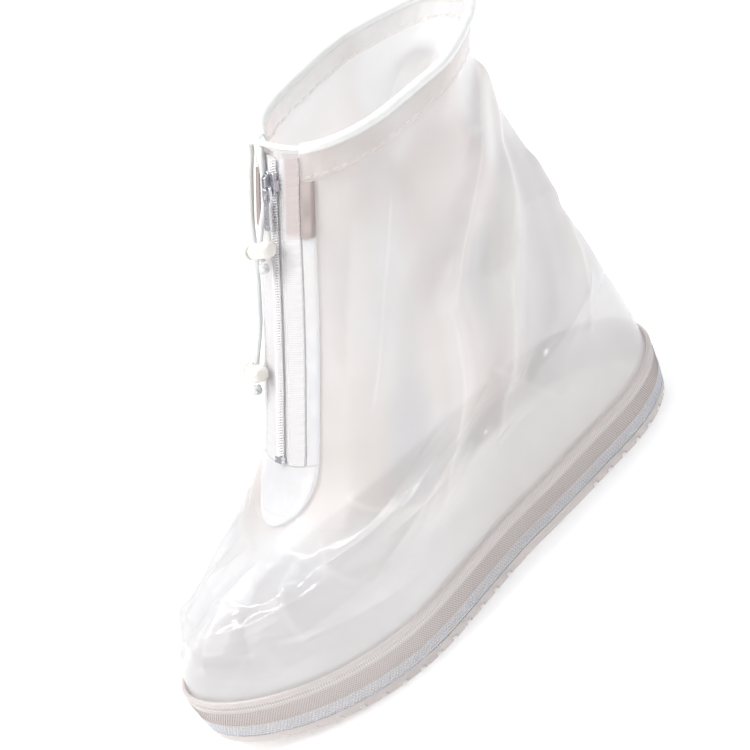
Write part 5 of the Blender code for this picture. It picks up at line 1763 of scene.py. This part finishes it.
def lockPlace(name):
    route = cords[name]["route"]
    points = [Vector(seatPoints(*row)) for row in route]
    down, aside, _ = route[-2]
    axis = (points[-1] - points[-3]).normalized()
    along = ringAtDown(down)
    out = Vector(filmNormals(angleAside(aside, along), along))
    out = (out - axis * out.dot(axis)).normalized()
    turn = Matrix((axis.cross(out), axis, out)).transposed().to_4x4()
    place = (Matrix.Translation(points[-2]) @ turn
             @ Matrix.Rotation(math.radians(lockLook["tilt"]), 4, "Y") @ Matrix.Rotation(math.pi, 4, "Z"))
    path = cordPaths[name]
    step = Vector(path[-1] - path[-2]).normalized()
    knot = points[-1] + step * (lockLook["knotLength"] / 2 + cover["gap"])
    return place, Matrix.Translation(knot) @ turn


def moved(points, place):
    return [tuple(place @ Vector(point)) for point in points]


def slotShell(place, halfX, halfZ):
    # the round-ended hole that the cord passes through, along the lock's own y
    shell = bmesh.new()
    outline = []
    for number in range(28):
        turn = 2 * math.pi * (number + 0.5) / 28
        side = math.copysign(halfX - halfZ, math.cos(turn))
        outline.append((side + halfZ * math.cos(turn), halfZ * math.sin(turn)))
    reach = lockLook["barrel"]
    near = [shell.verts.new(place @ Vector((x, -reach, z))) for x, z in outline]
    far = [shell.verts.new(place @ Vector((x, reach, z))) for x, z in outline]
    shell.faces.new(near)
    shell.faces.new(list(reversed(far)))
    for number in range(len(outline)):
        after = (number + 1) % len(outline)
        shell.faces.new((near[number], far[number], far[after], near[after]))
    return shell


def buildLock(name):
    look = lockLook
    place, knotPlace = lockPlace(name)
    radius, bore = look["barrel"] / 2, look["bore"] / 2
    start, end = -look["fromMouth"], look["length"] - look["fromMouth"]
    inner = end - look["endWall"]
    profile = rounded([(end, 0), (end, radius * 0.55), (end - radius * 0.30, radius * 0.90),
                       (end - radius * 0.75, radius),
                       *[(start + place, radius * share) for place, share in look["grip"]],
                       (start, radius * 0.96), (start, bore), (inner, bore), (inner, 0)], 0.0005)
    points, faces = turned(profile, look["sides"])
    barrel = makePiece("lock_barrel_" + name, moved(points, place), faces, mouldedPlastic,
                       replaces=["toggle_barrel_" + name], slot="lock_plastic", sharp=35)
    hole = look["hole"] / 2
    cutBy(barrel, "barrel_hole", slotShell(place, hole, hole))
    shaft, neck, head = look["shaft"] / 2, look["neck"] / 2, look["head"] / 2
    inside = hole + look["tip"]
    headStart = start - cover["gap"] - look["travel"]
    outer = headStart - look["headLength"]
    profile = rounded([(inside, 0), (inside, shaft), (start + cover["gap"], shaft),
                       (start - cover["gap"], neck), (headStart, neck), (headStart, head),
                       (headStart - 0.0012, head), (outer + 0.0004, head * 0.86), (outer, head * 0.5),
                       (outer + 0.0002, 0)], 0.00055)
    points, faces = turned(profile, look["sides"])
    plunger = makePiece("lock_plunger_" + name, moved(points, place), faces, mouldedPlastic,
                        body="plunger_" + name, replaces=["toggle_plunger_" + name], slot="lock_plastic",
                        sharp=35)
    cutBy(plunger, "plunger_slot", slotShell(place @ Matrix.Translation((-look["travel"] / 2, 0, 0)),
                                             hole + look["travel"] / 2, hole))
    knot = buildKnot(name, knotPlace)
    return [barrel, plunger, knot]


def buildKnot(name, place):
    # an overhand knot: the cord's own strand wound into a tight lump
    look = lockLook
    turns = np.linspace(0.0, 2 * math.pi, 181)
    radius = look["knot"] / 2 - look["strand"]
    across = radius * 0.50
    line = []
    for turn in turns:
        spread = radius * 0.62 + across * math.cos(3 * turn) * 0.55
        line.append((spread * math.cos(2 * turn), across * 1.7 * math.sin(3 * turn),
                     spread * math.sin(2 * turn)))
    points, faces, laid = tubeMesh(moved(line, place), look["strand"], 14, ends=False)
    return makePiece("knot_" + name, points, faces, braidedElastic, replaces=["cord_knot_" + name],
                     slot="elastic", sharp=None, laid=laid)


sliderPlace = seatFrame(sliderLook["drop"], 0.0, 0.0)
buildSlider(sliderPlace)
buildTab(sliderPlace)
buildStop()
for name in cords:
    pieces = buildLock(name)
    path = cordPaths[name]
    length = float(np.linalg.norm(np.diff(path, axis=0), axis=1).sum())
print("locks and knots made")
